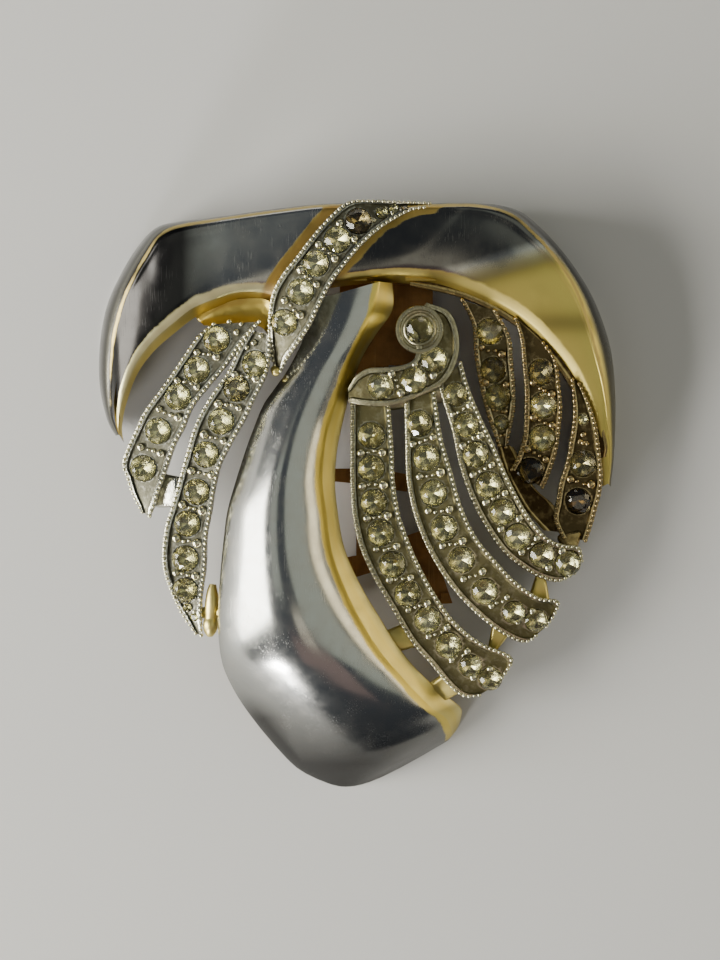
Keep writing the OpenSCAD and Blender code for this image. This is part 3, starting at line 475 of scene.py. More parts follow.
def scratch_group():
    """Lines of stretched noise in three directions, 1 in a scratch."""
    tree, ends, out = effect_tree("fine_scratches", "Lines", Fineness=9000.0, Amount=0.5)
    place = object_place(tree)
    total = None
    for turn, tilt in SCRATCH_TURNS:
        turned = add(tree, "ShaderNodeMapping", Vector=place, Rotation=(tilt, 0.2, turn), Scale=STRETCH)
        fine = noise(tree, turned.outputs[0], ends.outputs["Fineness"], 2.0, 0.55)
        line = spread(tree, fine, 0.62, 0.74)
        total = line if total is None else maths(tree, "MAXIMUM", total, line)
    patch = spread(tree, noise(tree, place, 450.0, 3.0), 0.42, 0.62, 0.15, 1.0)
    lines = times(tree, times(tree, total, patch), ends.outputs["Amount"])
    tree.links.new(lines, out.inputs["Lines"])
    return tree


def blotch_group():
    """Soft blotches from 0 up to the contrast."""
    tree, ends, out = effect_tree("blotches", "Blotch", Size=600.0, Contrast=0.5)
    soft = noise(tree, object_place(tree), ends.outputs["Size"], 5.0, 0.6)
    blotch = times(tree, spread(tree, soft, 0.3, 0.7), ends.outputs["Contrast"])
    tree.links.new(blotch, out.inputs["Blotch"])
    return tree


SCRATCHES = scratch_group()
BLOTCHES = blotch_group()
print("shared effects:", SCRATCHES.name, BLOTCHES.name)


# %% Plated metal: rhodium, and gilt where the mask says so
def mask_of(tree, name):
    """A mask kept in the mesh as an attribute."""
    return add(tree, "ShaderNodeAttribute", attribute_name=name).outputs["Fac"]


def new_material(name):
    """A material, its tree and its shader."""
    material = bpy.data.materials.new(name)
    material.use_nodes = True
    return material, material.node_tree, material.node_tree.nodes["Principled BSDF"]


RHODIUM = (0.40, 0.41, 0.40)
RHODIUM_WARM = (0.36, 0.33, 0.29)
GILT = (0.66, 0.52, 0.13)
GILT_PALE = (0.70, 0.65, 0.36)
# Gilt in painted shade.
GILT_IN_SHADE = (0.26, 0.13, 0.035)
GILT_THIN = (0.60, 0.49, 0.12)
# Colour of painted dark reflections.
DARK_REFLECTION_COLOUR = (0.020, 0.019, 0.020)


def plated_metal():
    """Polished rhodium, with masks for gilt, its worn places and its painted shade, warm thin gilding, and
    painted dark reflections.
    """
    material, tree, shader = new_material("plated_metal")
    masks = ("gilt", "worn", "deep", "warm", "tarnish")
    gilt, worn, deep, warm, tarnish = (mask_of(tree, name) for name in masks)
    lines = effect(tree, SCRATCHES, Fineness=11000.0, Amount=0.8)
    blotch = effect(tree, BLOTCHES, Size=700.0, Contrast=1.0)
    gilt = spread(tree, plus(tree, gilt, blotch, 0.25), 0.45, 0.75)
    silver = blend_colours(tree, times(tree, blotch, 0.35), RHODIUM, RHODIUM_WARM)
    silver = blend_colours(tree, warm, silver, GILT_THIN)
    # Painted dark reflection where its mask says, and gilt darkened by painted shade where that mask says.
    silver = blend_colours(tree, tarnish, silver, DARK_REFLECTION_COLOUR)
    gold = blend_colours(tree, worn, GILT, GILT_PALE)
    gold = blend_colours(tree, times(tree, deep, 0.85), gold, GILT_IN_SHADE)
    rough = plus(tree, plus(tree, 0.15, blotch, 0.09), lines, 0.22)
    rough = plus(tree, plus(tree, rough, gilt, 0.18), warm, 0.22)
    feed(tree, shader, Base_Color=blend_colours(tree, gilt, silver, gold), Metallic=1.0, Roughness=rough)
    grain = times(tree, noise(tree, object_place(tree), 5200.0, 3.0), times(tree, gilt, 0.5))
    height = maths(tree, "SUBTRACT", grain, times(tree, lines, 0.5), clamp=True)
    bump(tree, shader, height, 0.25, 0.00003)
    return material


PLATED = plated_metal()


# %% Set metal: the grey metal under and round the stones, olive and brown with age
AGES = (0.0, 0.2, 1.0)
CLEAN_BY_AGE = ((0.55, 0.54, 0.46), (0.54, 0.51, 0.35), (0.42, 0.32, 0.14))
# Dark colours for the mask that darkens sunk floors and undersides: old dirt, and painted shade.
GRIME_AND_SHADE_BY_AGE = ((0.125, 0.12, 0.088), (0.165, 0.147, 0.072), (0.055, 0.034, 0.014))


def aged(brown, colours):
    """The colour that belongs to a brown value, between those of new, old and very old plate."""
    return tuple(float(np.interp(brown, AGES, channel)) for channel in zip(*colours))


def set_metal(name, brown):
    """Aged silver plate, darker where its mask says, with old dirt and painted shade, and browner the
    higher its brown value.
    """
    material, tree, shader = new_material(name)
    blotch = effect(tree, BLOTCHES, Size=1600.0, Contrast=1.0)
    # Old dirt in blotches, and painted shade where the mask says.
    dirt = plus(tree, times(tree, mask_of(tree, "dirt"), 0.8), blotch, 0.5)
    dirt = spread(tree, dirt, 0.25, 1.05)
    colour = blend_colours(tree, dirt, aged(brown, CLEAN_BY_AGE), aged(brown, GRIME_AND_SHADE_BY_AGE))
    feed(tree, shader, Base_Color=colour, Metallic=1.0, Roughness=plus(tree, 0.2, dirt, 0.3))
    bump(tree, shader, noise(tree, object_place(tree), 3800.0, 4.0), 0.6, 0.00006)
    return material


def bead_plate(name, colour):
    """Clean plate on the rubbed tops of the beads, a little darker in spots."""
    material, tree, shader = new_material(name)
    blotch = effect(tree, BLOTCHES, Size=2400.0, Contrast=1.0)
    spotted = blend_colours(tree, times(tree, blotch, 0.6), colour, tuple(c * 0.5 for c in colour))
    feed(tree, shader, Base_Color=spotted, Metallic=1.0, Roughness=0.22)
    return material


def bead_metal(name):
    """The beads' plate on a bar: brown on the back ribs and silver on the others."""
    return BROWN_BEADS if BARS[name][2] > 0.5 else SILVER_BEADS


SET_METALS = {name: set_metal("set_metal_" + name, tint) for name, (_, _, tint) in BARS.items()}
SILVER_BEADS = bead_plate("silver_beads", (0.78, 0.74, 0.52))
BROWN_BEADS = bead_plate("brown_beads", (0.52, 0.40, 0.20))
VALLEY_METAL = set_metal("set_metal_valley", 1.0)
BRIGHT_METAL = set_metal("set_metal_bright", 0.0)
print("set metals:", len(SET_METALS) + 2)

# %% [markdown]
# ## The folded shoulders
#
# Each shoulder is a strip of metal folded over along a soft crease. Its inner edge rolls over into a gilt
# wall that falls towards the ribs, and its outer side bends down to the brooch's back. A cross-section of
# that strip is a short curve, and the table moves it along. The shell gets a second skin below it, since
# the casting is hollow.

# %% Shoulders
WALL = 1.2
POINT_SHARE = 0.2
TAPER = 34
END_ROWS = 9
BEVEL_W = 0.8
BEVEL_DROP = 1.6
SWELL_SHARE = 0.035
SWELL_LIMIT = 0.3
LIP_W = 1.1
LIP_DROP = 0.28
FACE = (0, 0.3, 0.6, 0.85, 0.97)
FOLD = ((0.45, 0.12), (0.8, 0.4))
LIP_EDGE = 2.5
WALL_SHARES = (1.0, 0.66, 0.33, 0.06)
WALL_WORN = (0.0, 0.0, 0.1, 0.5)


def shoulder_grid(rows, steps, across):
    """Points of a shoulder's outer skin, with masks for its gilt wall and lip, and for its worn lip."""
    grid, gilt, worn = [], [], []
    for s in smooth(rows, steps):
        inner, crease, outer = s[0:3], s[3:6], s[6:9]
        width = np.linalg.norm(inner - crease)
        swell = min(SWELL_LIMIT, width * SWELL_SHARE)
        bow = np.array([0, 0, swell])
        face = [inner + (crease - inner) * u + bow * math.sin(math.pi * u) for u in FACE]
        fold = [crease + (outer - crease) * np.array([out, out, down]) for out, down in FOLD]
        curve = smooth(face + fold + [outer], across)
        run = np.linalg.norm(curve - inner, axis=1)
        lip = np.clip(1 - run / min(LIP_W, width * 0.3), 0, 1)
        curve[:, 2] -= min(LIP_DROP, width * 0.1) * lip**2
        flat = unit((inner - crease) * np.array([1, 1, 0]))
        drop = np.array([0, 0, min(BEVEL_DROP, width)])
        wall = [curve[0] + flat * min(BEVEL_W, width / 2) * v - drop * v for v in WALL_SHARES]
        grid.append(np.vstack([wall, curve]))
        gilt.append(np.concatenate([np.ones(len(wall)), 0.9 * np.clip(lip * LIP_EDGE, 0, 1)]))
        worn.append(np.concatenate([WALL_WORN, np.clip(lip * LIP_EDGE * 2, 0, 1)]))
    return np.array(grid), np.array(gilt), np.array(worn)


def shell(grid, side):
    """The inner skin below a grid, closer to it where the form runs out to a point."""
    width = np.linalg.norm(grid[:, 0] - grid[:, -1], axis=1)
    left = np.arange(len(grid))[::-1]
    t = np.minimum(WALL, POINT_SHARE * width) * np.clip(left / TAPER, 0.04, 1)
    return grid - side * t[:, None, None] * grid_normals(grid)


def skins(gilt, worn, deep, warm, tarnish):
    """Masks of a shell: the outer skin's own, and on the inner skin gilt except at its end, and painted
    shade all over.
    """
    inside = np.clip(np.arange(len(gilt))[::-1] / END_ROWS, 0, 1)[:, None] * np.ones_like(gilt)
    none = 0 * gilt
    pairs = {"gilt": (gilt * inside, inside), "deep": (deep, none + 0.5), "worn": (worn, none),
             "warm": (warm, none), "tarnish": (tarnish, none)}
    return {mask: np.concatenate(both) for mask, both in pairs.items()}


def near(grid, line, full, none):
    """1 at grid points within a full distance of a line, seen from above, and 0 beyond none."""
    flat = grid[..., :2].reshape(-1, 1, 2)
    gap = np.linalg.norm(flat - np.asarray(line)[None, :, :2], axis=2).min(axis=1).reshape(grid.shape[:2])
    return np.clip((none - gap) / (none - full), 0, 1)


# %% Looks of the shoulders' plating
SHOULDER_ACROSS = 44
FACE_SHARE = 0.66
STRIPE_STEPS = 240
CREASE_STEPS = 400
CREASE_FULL = 0.06
CREASE_NONE = 0.26
CREASE_FADE = 4
WARM_Y = 20.4
WARM_SLOPE = 0.3
SIDE_WARM_Y = 18.0
# Painted dark reflection on the shoulders' faces: where it begins above, where its bands lie, and where it
# begins at the left end.
DIM_REFLECTION_Y = 20.2
BAND_Y = 19.0
LOW_BAND_Y = 14.8
DIM_REFLECTION_X = -11.5


def ramp(value, width):
    """0 below zero, 1 above the width, and even between them."""
    return np.clip(value / width, 0, 1)


def hump(value, width):
    """1 at zero and less on both sides of it."""
    return np.exp(-(value / width) ** 2)


def left_looks(grid, along, outer_side):
    """How warm the left shoulder is, a little along its arm, and how strong its painted dark reflection is
    at its end.
    """
    warm = ramp(along - 0.3, 0.4) * 0.15 + 0 * outer_side
    return warm, 0.97 * ramp(DIM_REFLECTION_X - grid[:, :, 0], 3.5)


def right_looks(grid, _, outer_side):
    """How warm the right shoulder is, warm below, and where its painted dark reflection lies: above, and in
    bands that lean with it.
    """
    x, y = grid[:, :, 0], grid[:, :, 1]
    level = y - WARM_SLOPE * (np.clip(x, 4, 16) - 12)
    warm = ramp(WARM_Y - level, 1.8) * 0.95
    warm = warm * (1 - outer_side) + ramp(SIDE_WARM_Y - y, 9) * 0.6 * outer_side
    dim_reflection = np.maximum(0.75 * ramp(level - DIM_REFLECTION_Y, 0.8), 0.5 * hump(level - BAND_Y, 0.9))
    return warm, np.maximum(dim_reflection, 0.5 * hump(y - LOW_BAND_Y, 1.0) * ramp(x - 12, 3))


# %% Shoulders by name: table, sections, side, band's edge, stripe's widths and share, worn share, looks
SHOULDERS = {
    "shoulder_left": (SHOULDER_LEFT, 110, -1, slice(0, 2), (0.75, 1.0), 1.0, 1.0, left_looks),
    "shoulder_right": (SHOULDER_RIGHT, 120, 1, slice(2, 4), (0.5, 0.65), 0.8, 0.2, right_looks)}
for name, (rows, steps, side, edge, widths, stripe_share, worn_share, looks) in SHOULDERS.items():
    grid, gilt, worn = shoulder_grid(rows, steps, SHOULDER_ACROSS)
    along = np.linspace(0, 1, steps + 1)[:, None]
    columns = np.arange(grid.shape[1])[None, :]
    face = columns < FACE_SHARE * grid.shape[1]
    stripe = near(grid, smooth(BAND, STRIPE_STEPS)[:, edge], *widths) * face * stripe_share
    crease = near(grid, smooth(rows, CREASE_STEPS)[:, 3:6], CREASE_FULL, CREASE_NONE)
    crease = crease * np.clip((1 - along) * CREASE_FADE, 0, 1)
    last = grid.shape[1] - 1
    outer_side = ramp(columns - FACE_SHARE * last, 0.08 * last) + 0 * gilt
    warm, dim_reflection = looks(grid, along, outer_side)
    # Painted dark reflection: the darkened stretches of the face, and the outer side, less where it is
    # warm.
    tarnish = np.maximum(dim_reflection * (1 - outer_side), 0.9 * outer_side * (1 - 0.5 * warm))
    gilt = np.maximum.reduce([gilt, 0.9 * stripe, 0.7 * crease])
    worn = np.maximum.reduce([worn * worn_share, 0.1 * stripe, 0.5 * crease])
    # Painted shade: darker gilt along the band's edge, and some along the crease.
    deep = np.where(stripe > crease, 0.85 * stripe, 0.5 * crease)
    shoulder = solid(name, *slab(grid, shell(grid, side)), skins(gilt, worn, deep, warm, tarnish))
    cut_flat(shoulder)
    finish_piece(shoulder, PLATED)
    print(name, len(shoulder.data.polygons), "faces")

# %% [markdown]
# ## The drop
#
# The big drop is a dome with a gilt rim along its right edge. A sine curve gives a dome, and a power
# below one makes it fuller, as a hammered or die-struck form is. A painted dark reflection darkens its
# lower end.

# %% Drop with its gilt rim
DROP_STEPS = 150
DROP_ACROSS = 56
DROP_SPREAD = 1.25
GILT_FULL = 0.35
GILT_NONE = 0.95
DROP_FULLNESS = 0.8
RIM_SHARES = (0.06, 0.5, 0.94, 1.0)
RIM_WORN = (0.25, 0.15, 0.7, 0.3)
DARK_REFLECTION_Y = -15
LEFT_DARK_REFLECTION_Y = -16


def drop_grid():
    """Points of the drop's outer skin, with masks for its gilt and worn rim."""
    grid, gilt, worn = [], [], []
    u = (np.arange(DROP_ACROSS + 1) / DROP_ACROSS)[:, None] ** DROP_SPREAD
    for s in smooth(DROP, DROP_STEPS):
        left, crest, rim_in, rim_out = s[0:3], s[3], s[4:7], s[7:10]
        rise = crest - (left[2] + rim_in[2]) / 2
        dome = left + (rim_in - left) * u
        dome[:, 2] += (rise * np.maximum(np.sin(np.pi * u), 0) ** DROP_FULLNESS)[:, 0]
        rim = [rim_in + (rim_out - rim_in) * v for v in RIM_SHARES]
        grid.append(np.vstack([dome, rim]))
        gap = (1 - u[:, 0]) * np.linalg.norm(rim_in - left)
        gilt.append(np.concatenate([0.9 * ramp(GILT_NONE - gap, GILT_NONE - GILT_FULL), np.ones(len(rim))]))
        worn.append(np.concatenate([np.zeros(DROP_ACROSS + 1), RIM_WORN]))
    return np.array(grid), np.array(gilt), np.array(worn)


grid, gilt, worn = drop_grid()
# Painted dark reflection: the plate darkens towards the lower end, and sooner on the left flank.
low = grid[:, :, 1]
left_share = ramp(0.4 - np.linspace(0, 1, grid.shape[1]), 0.3)[None, :]
tarnish = 0.9 * np.maximum(ramp(DARK_REFLECTION_Y - low, 8), ramp(LEFT_DARK_REFLECTION_Y - low, 3) * left_share)
# Painted shade on the rim's outer edge, where it turns down.
deep = 0 * gilt
deep[:, -1] = 0.6
drop = solid("drop", *slab(grid, shell(grid, 1)), skins(gilt, worn, deep, 0 * gilt, tarnish))
cut_flat(drop)
finish_piece(drop, PLATED)
print("drop", len(drop.data.polygons), "faces")

# %% [markdown]
# ## Bars, seats and beaded edges
#
# A bar is a channel: two raised rims with a sunk floor between them, where the stones sit. The setter
# drills a seat for each stone. A Boolean modifier does that here in two turns, with one cutter mesh for
# every second seat, so that no two cutters meet. It is applied at once, so that only plain mesh is left.

# %% Bars with their seats
BAR_T = 1.5
BAR_SECTIONS = 16
RIM_W = 0.45
RIM_H = 0.3
RIM_SHARE = 0.25
RIM_SLOPE = 0.3
SEAT_STEPS = 60
SEAT_GAP = 0.06
SEAT_SIDES = 24
SEAT_TOP = 2.2
STONE_LIFT = 0.18
BACK_SHARE = 0.62
ROUND = 0.1
RIM_DIP = 0.1
FLOOR_POINTS = 9
STONE_GROW = 1.07


def bar_edges(rows, lean, steps):
    """Left and right top edges of a bar, its width, and the way across it."""
    s = smooth(rows, steps)
    left = np.stack([s[:, 0], s[:, 1], s[:, 4] - lean / 2], 1)
    right = np.stack([s[:, 2], s[:, 3], s[:, 4] + lean / 2], 1)
    width = np.linalg.norm(right - left, axis=1, keepdims=True)
    return left, right, width, (right - left) / width


def bar_grid(rows, lean, steps, depth=RIM_H, dip=0.0):
    """Points of a bar's top, from its left side to its right, with a mask that darkens its sunk floor and
    sides: old dirt there, and painted shade.
    """
    left, right, width, across = bar_edges(rows, lean, steps)
    w = np.minimum(RIM_W, width * RIM_SHARE)
    foot = w * (1 + RIM_SLOPE)
    r = np.minimum(ROUND, w * 0.3)
    down = np.array([0, 0, 1.0])
    side = [(0, -dip - 4 * r, 0.5), (0, -dip - r, 0.3), (0.3 * r, -dip - 0.3 * r, 0.3), (r, -dip, 0.4),
            (0.62 * w, -dip, 0.6), (0.7 * w, 0, 0.0), (w, 0, 0.0), (foot, -depth, 1.0)]
    columns = [left + across * a + down * b for a, b, _ in side]
    columns += [left + across * (foot + (width - 2 * foot) * v) - down * depth
                for v in np.linspace(0, 1, FLOOR_POINTS + 2)[1:-1]]
    columns += [right - across * a + down * b for a, b, _ in side[::-1]]
    dirt = [d for _, _, d in side] + [1.0] * FLOOR_POINTS + [d for _, _, d in side[::-1]]
    grid = np.stack(columns, 1)
    return grid, np.tile(dirt, (len(grid), 1))


def under(grid):
    """The flat underside of a bar, straight below its top."""
    low = grid.copy()
    low[:, :, 2] = np.minimum(grid[:, :1, 2], grid[:, -1:, 2]) - BAR_T
    return low


def seat_frames(name, places):
    """For each x, y and radius on a bar: the point on its floor, and unit vectors across, along and up."""
    rows, lean, _ = BARS[name]
    left, right, _, _ = bar_edges(rows, lean, SEAT_STEPS)
    middle = (left + right) / 2
    frames = []
    for x, y, r in places:
        nearest = np.argmin(np.hypot(middle[:, 0] - x, middle[:, 1] - y))
        k = int(np.clip(nearest, 1, len(middle) - 2))
        across, along = unit(right[k] - left[k]), unit(middle[k + 1] - middle[k - 1])
        up = unit(np.cross(across, along))
        up = -up if up[2] < 0 else up
        m = middle[k]
        z = m[2] - (up[0] * (x - m[0]) + up[1] * (y - m[1])) / up[2]
        side = unit(across - up * np.dot(across, up))
        frames.append((np.array([x, y, z - RIM_H]), side, np.cross(up, side), up, r * STONE_GROW))
    return frames


def bar_frames(name):
    """The frames of the stones that a bar holds itself, which leaves out the one in the scroll's head."""
    return FRAMES[name][1:] if name == "scroll" else FRAMES[name]


HEAD_AT = np.array([5.2, 14.2, 9.8])
FRAMES = {name: seat_frames(name, STONES[name]) for name in BARS}
FRAMES["scroll"][0] = (HEAD_AT - [0, 0, RIM_H], *np.eye(3), R * STONE_GROW)


def ring_points(frame, radius, height, sides):
    """Points of a circle round a seat."""
    at, side, front, up, _ = frame
    a = np.arange(sides) * 2 * np.pi / sides
    return at + radius * (np.cos(a)[:, None] * side + np.sin(a)[:, None] * front) + up * height


def drill(piece, frames):
    """Cuts a stone's seat into a piece at each frame, in two turns of every second one."""
    n = SEAT_SIDES
    for some in (frames[::2], frames[1::2]):
        points, faces = [], []
        for f in some:
            r = f[4] + SEAT_GAP
            low = [len(points) + i for i in range(n)]
            bottom = STONE_LIFT - f[4] * BACK_SHARE - SEAT_GAP
            points += [*ring_points(f, r, bottom, n), *ring_points(f, r, SEAT_TOP, n)]
            faces += [low[::-1], [i + n for i in low]]
            faces += [[low[i], low[(i + 1) % n], low[(i + 1) % n] + n, low[i] + n] for i in range(n)]
        carve(piece, points, faces)


for name, (rows, lean, tint) in BARS.items():
    grid, dirt = bar_grid(rows, lean, BAR_SECTIONS * len(rows), dip=0.0 if name == "scroll" else RIM_DIP)
    # The underside is darkened too, painted shade.
    dirt = np.concatenate([dirt, np.full_like(dirt, 0.6)])
    bar = solid("bar_" + name, *slab(grid, under(grid)), {"dirt": dirt})
    drill(bar, bar_frames(name))
    finish_piece(bar, SET_METALS[name])
    print(bar.name, len(bar.data.polygons), "faces")

# %% Valley floor and ledge
PLAIN_SECTIONS = 60
PLAIN_DEPTH = 0.05
for name, rows in (("valley", VALLEY), ("ledge", LEDGE)):
    grid, dirt = bar_grid(rows, 0, PLAIN_SECTIONS, depth=PLAIN_DEPTH)
    # Their sunk middle is darkened as on the bars: old dirt, and painted shade.
    plain = solid(name, *slab(grid, under(grid)), {"dirt": np.concatenate([dirt, dirt])})
    finish_piece(plain, VALLEY_METAL)

# %% [markdown]
# ## Beads by Geometry Nodes
#
# Milgrain is a row of tiny beads rolled into the edge of a setting with a wheel. It follows a line and
# repeats at one pitch, so a Geometry Nodes tree makes it: the line becomes a curve, the curve is
# resampled at the pitch, and a small sphere sits on each point. The prongs are beads too, raised from the
# floor between the stones, and their tree takes its sizes from an attribute of each point.

# %% Tools for building trees
def geometry_tree(name, inputs):
    """A Geometry Nodes tree with named inputs, and its two end nodes."""
    inputs = {"Geometry": ("Geometry", None), **inputs}
    return new_tree("GeometryNodeTree", name, inputs, "Geometry", "Geometry")


def run_tree(piece, tree, **values):
    """Runs a tree on a piece with its inputs set, and leaves the result as plain mesh."""
    modifier = piece.modifiers.new(tree.name, "NODES")
    modifier.node_group = tree
    ids = {item.name: item.identifier for item in tree.interface.items_tree if item.in_out == "INPUT"}
    for key, value in values.items():
        modifier[ids[key.replace("_", " ")]] = value
    bake_modifiers(piece)


def attribute(tree, name, kind):
    """An attribute of the points or faces that a tree works on."""
    made = add(tree, "GeometryNodeInputNamedAttribute", data_type=kind, Name=name)
    return next(s for s in made.outputs if s.enabled and s.name == "Attribute")


def beads_on(tree, ends, out, points, radius, scale):
    """Small spheres on points, made real, with the tree's metal, led to its output."""
    bead = add(tree, "GeometryNodeMeshIcoSphere", Radius=radius, Subdivisions=2)
    bead = add(tree, "GeometryNodeSetShadeSmooth", Geometry=bead.outputs[0])
    beads = add(tree, "GeometryNodeInstanceOnPoints", Points=points, Instance=bead.outputs[0], Scale=scale)
    real = add(tree, "GeometryNodeRealizeInstances", Geometry=beads.outputs[0])
    metal = add(tree, "GeometryNodeSetMaterial", Geometry=real.outputs[0], Material=ends.outputs["Metal"])
    tree.links.new(metal.outputs[0], out.inputs[0])


# %% Milgrain tree
def milgrain_tree():
    """Beads along a line at one pitch, each a little larger or smaller."""
    tree, ends, out = geometry_tree("milgrain", {
        "Bead Radius": ("Float", 0.0002), "Pitch": ("Float", 0.00043), "Unevenness": ("Float", 0.12),
        "Seed": ("Int", 7), "Metal": ("Material", None)})
    curve = add(tree, "GeometryNodeMeshToCurve", Mesh=ends.outputs["Geometry"])
    even = add(tree, "GeometryNodeResampleCurve", mode="LENGTH", Curve=curve.outputs[0],
               Length=ends.outputs["Pitch"])
    size = add(tree, "FunctionNodeRandomValue", data_type="FLOAT")
    low, high = (maths(tree, way, 1.0, ends.outputs["Unevenness"]) for way in ("SUBTRACT", "ADD"))
    for index, value in ((2, low), (3, high), (8, ends.outputs["Seed"])):
        put(tree, size.inputs[index], value)
    beads_on(tree, ends, out, even.outputs[0], ends.outputs["Bead Radius"], size.outputs[1])
    return tree


MILGRAIN = milgrain_tree()


# %% Milgrain along both rims of every bar
def lines_object(name, lines):
    """A mesh of loose edges along lines of points."""
    edges = []
    base = 0
    for line in lines:
        edges += [(base + i, base + i + 1) for i in range(len(line) - 1)]
        base += len(line)
    return linked(name, mesh_of(name, np.concatenate(lines), edges=edges))


RIM_STEPS = 80
BEAD_R = 0.175
BEAD_PITCH = 0.44
BEAD_SINK = 0.07
BEAD_SHARE = 0.36


def rim_lines(name):
    """The middle lines of a bar's two rims."""
    rows, lean, _ = BARS[name]
    left, right, width, across = bar_edges(rows, lean, RIM_STEPS)
    w = np.minimum(RIM_W, width * RIM_SHARE) * BEAD_SHARE
    sink = np.array([0, 0, BEAD_SINK])
    return [left + across * w - sink, right - across * w - sink]


BEADED = [name for name in BARS if name != "scroll"]
for name in BEADED:
    beads = lines_object("milgrain_" + name, rim_lines(name))
    run_tree(beads, MILGRAIN, Bead_Radius=BEAD_R * MM, Pitch=BEAD_PITCH * MM, Metal=bead_metal(name))
    finish_piece(beads)


# %% Prong beads between the stones
def bead_tree():
    """A bead on each point, as large as the point's attribute says."""
    tree, ends, out = geometry_tree("prong_beads", {
        "Flatness": ("Float", 0.8), "Metal": ("Material", None)})
    radius = attribute(tree, "radius", "FLOAT")
    tall = times(tree, radius, ends.outputs["Flatness"])
    size = add(tree, "ShaderNodeCombineXYZ", X=radius, Y=radius, Z=tall)
    beads_on(tree, ends, out, ends.outputs["Geometry"], 1.0, size.outputs[0])
    return tree


def points_object(name, points, **attributes):
    """A mesh of loose points, with attributes for each."""
    mesh = mesh_of(name, points)
    for key, values in attributes.items():
        keep(mesh, key, values, *(("FLOAT_VECTOR", "vector") if np.ndim(values) > 1 else ()))
    return linked(name, mesh)


PRONG_R = 0.36
PRONG_OUT = 0.84
PRONG_LIFT = 0.14
PRONG_SHIFT = 0.12
PRONG_SIZES = (0.85, 1.15)
SMALL_GAP = 0.35
SMALL_R = (0.16, 0.23)
SMALL_OUT = (0.2, 0.34)
SMALL_LIFT = 0.06
SMALL_SHIFT = 0.1
END_LIFT = 0.08
END_BEADS = {
    "feather_inner": [(-8.9, 13.1, 0.30), (-9.5, 12.7, 0.22), (-8.3, 13.7, 0.24), (-9.0, 14.0, 0.2)],
    "feather_outer": [(-11.0, 14.9, 0.26), (-10.4, 14.0, 0.3), (-10.0, 14.7, 0.22)],
    "rib_f": [(19.2, 5.3, 0.3), (19.2, 4.6, 0.24)],
    "rib_d": [(12.1, 5.2, 0.22), (12.5, 5.3, 0.2)]}


def prong_points(name, dice):
    """Two large beads between neighbouring stones, two small ones where there is room, and their radii."""
    points, radii = [], []
    frames = bar_frames(name)
    for a, b in zip(frames, frames[1:]):
        middle = (a[0] + b[0]) / 2
        side = unit(a[1] + b[1])
        out = PRONG_OUT * min(a[4], b[4]) / R
        for sign in (-1, 1):
            along = unit(b[0] - a[0]) * dice.uniform(-PRONG_SHIFT, PRONG_SHIFT)
            points.append(middle + side * sign * out + along + [0, 0, PRONG_LIFT])
            radii.append(PRONG_R * min(a[4], b[4]) / R * dice.uniform(*PRONG_SIZES) * MM)
        gap = np.linalg.norm(b[0] - a[0]) - a[4] - b[4]
        for sign in (-1, 1) if gap > SMALL_GAP else ():
            along = unit(b[0] - a[0]) * dice.uniform(-SMALL_SHIFT, SMALL_SHIFT)
            points.append(middle + side * sign * dice.uniform(*SMALL_OUT) + along + [0, 0, SMALL_LIFT])
            radii.append(dice.uniform(*SMALL_R) * MM)
    for frame, place in zip(seat_frames(name, END_BEADS.get(name, [])), END_BEADS.get(name, [])):
        points.append(frame[0] + [0, 0, END_LIFT])
        radii.append(place[2] * MM)
    return points, radii


PRONGS = bead_tree()
dice = np.random.default_rng(11)
for name in BARS:
    points, radii = prong_points(name, dice)
    prongs = points_object("prongs_" + name, points, radius=radii)
    run_tree(prongs, PRONGS, Flatness=0.9, Metal=bead_metal(name))
    finish_piece(prongs)
    print(prongs.name, len(points))

# %% [markdown]
# ## Paste stones
#
# A paste stone is cut glass with a metal foil behind it. Light goes in through the crown, meets the foil
# and comes back out, broken up by the facets. So the stone here is a closed cut form of two materials:
# clear glass above the girdle and a mirror of old foil below it. It is cut once, as a table, eight stars,
# eight kites and sixteen small facets, and a tree sets a copy in each seat, turned at random.

# %% The cut of one stone
TABLE_SHARE = 0.56
CROWN_SHARE = 0.40
STAR_SHARE = 0.78
BACK_RING = 0.45
GIRDLE = 0.05


def cut_stone():
    """Points and faces of a round stone of radius one, with its foiled faces listed last."""
    half = np.pi / 8

    def ring(radius, turn, z, count=8):
        """Points on a circle at one height."""
        a = np.arange(count) * 2 * np.pi / count + turn
        return [(radius * math.cos(t), radius * math.sin(t), z) for t in a]

    slope = (CROWN_SHARE - GIRDLE) / (1 - TABLE_SHARE)
    star_z = CROWN_SHARE - slope * (STAR_SHARE * math.cos(half) - TABLE_SHARE)
    back_z = -BACK_SHARE + (BACK_SHARE - GIRDLE) * BACK_RING * math.cos(half)
    points = ring(TABLE_SHARE, 0, CROWN_SHARE) + ring(STAR_SHARE, half, star_z)
    points += ring(1, 0, GIRDLE, 16) + ring(1, 0, -GIRDLE, 16) + ring(BACK_RING, half, back_z)
    points += [(0, 0, -BACK_SHARE)]
    table, star, top, low, back, tip = 0, 8, 16, 32, 48, 56
    crown = [list(range(8))]
    foil = []
    for k in range(8):
        n, p = (k + 1) % 8, (k - 1) % 8
        g, h, j = 2 * k, 2 * k + 1, (2 * k + 2) % 16
        crown += [[table + k, star + k, table + n], [table + k, star + p, top + g, star + k],
                  [star + k, top + g, top + h], [star + k, top + h, top + j]]
        crown += [[top + g, low + g, low + h, top + h], [top + h, low + h, low + j, top + j]]
        foil += [[tip, back + k, low + g, back + p]]
        foil += [[back + k, low + h, low + g], [back + k, low + j, low + h]]
    return np.array(points), crown + foil, len(crown)


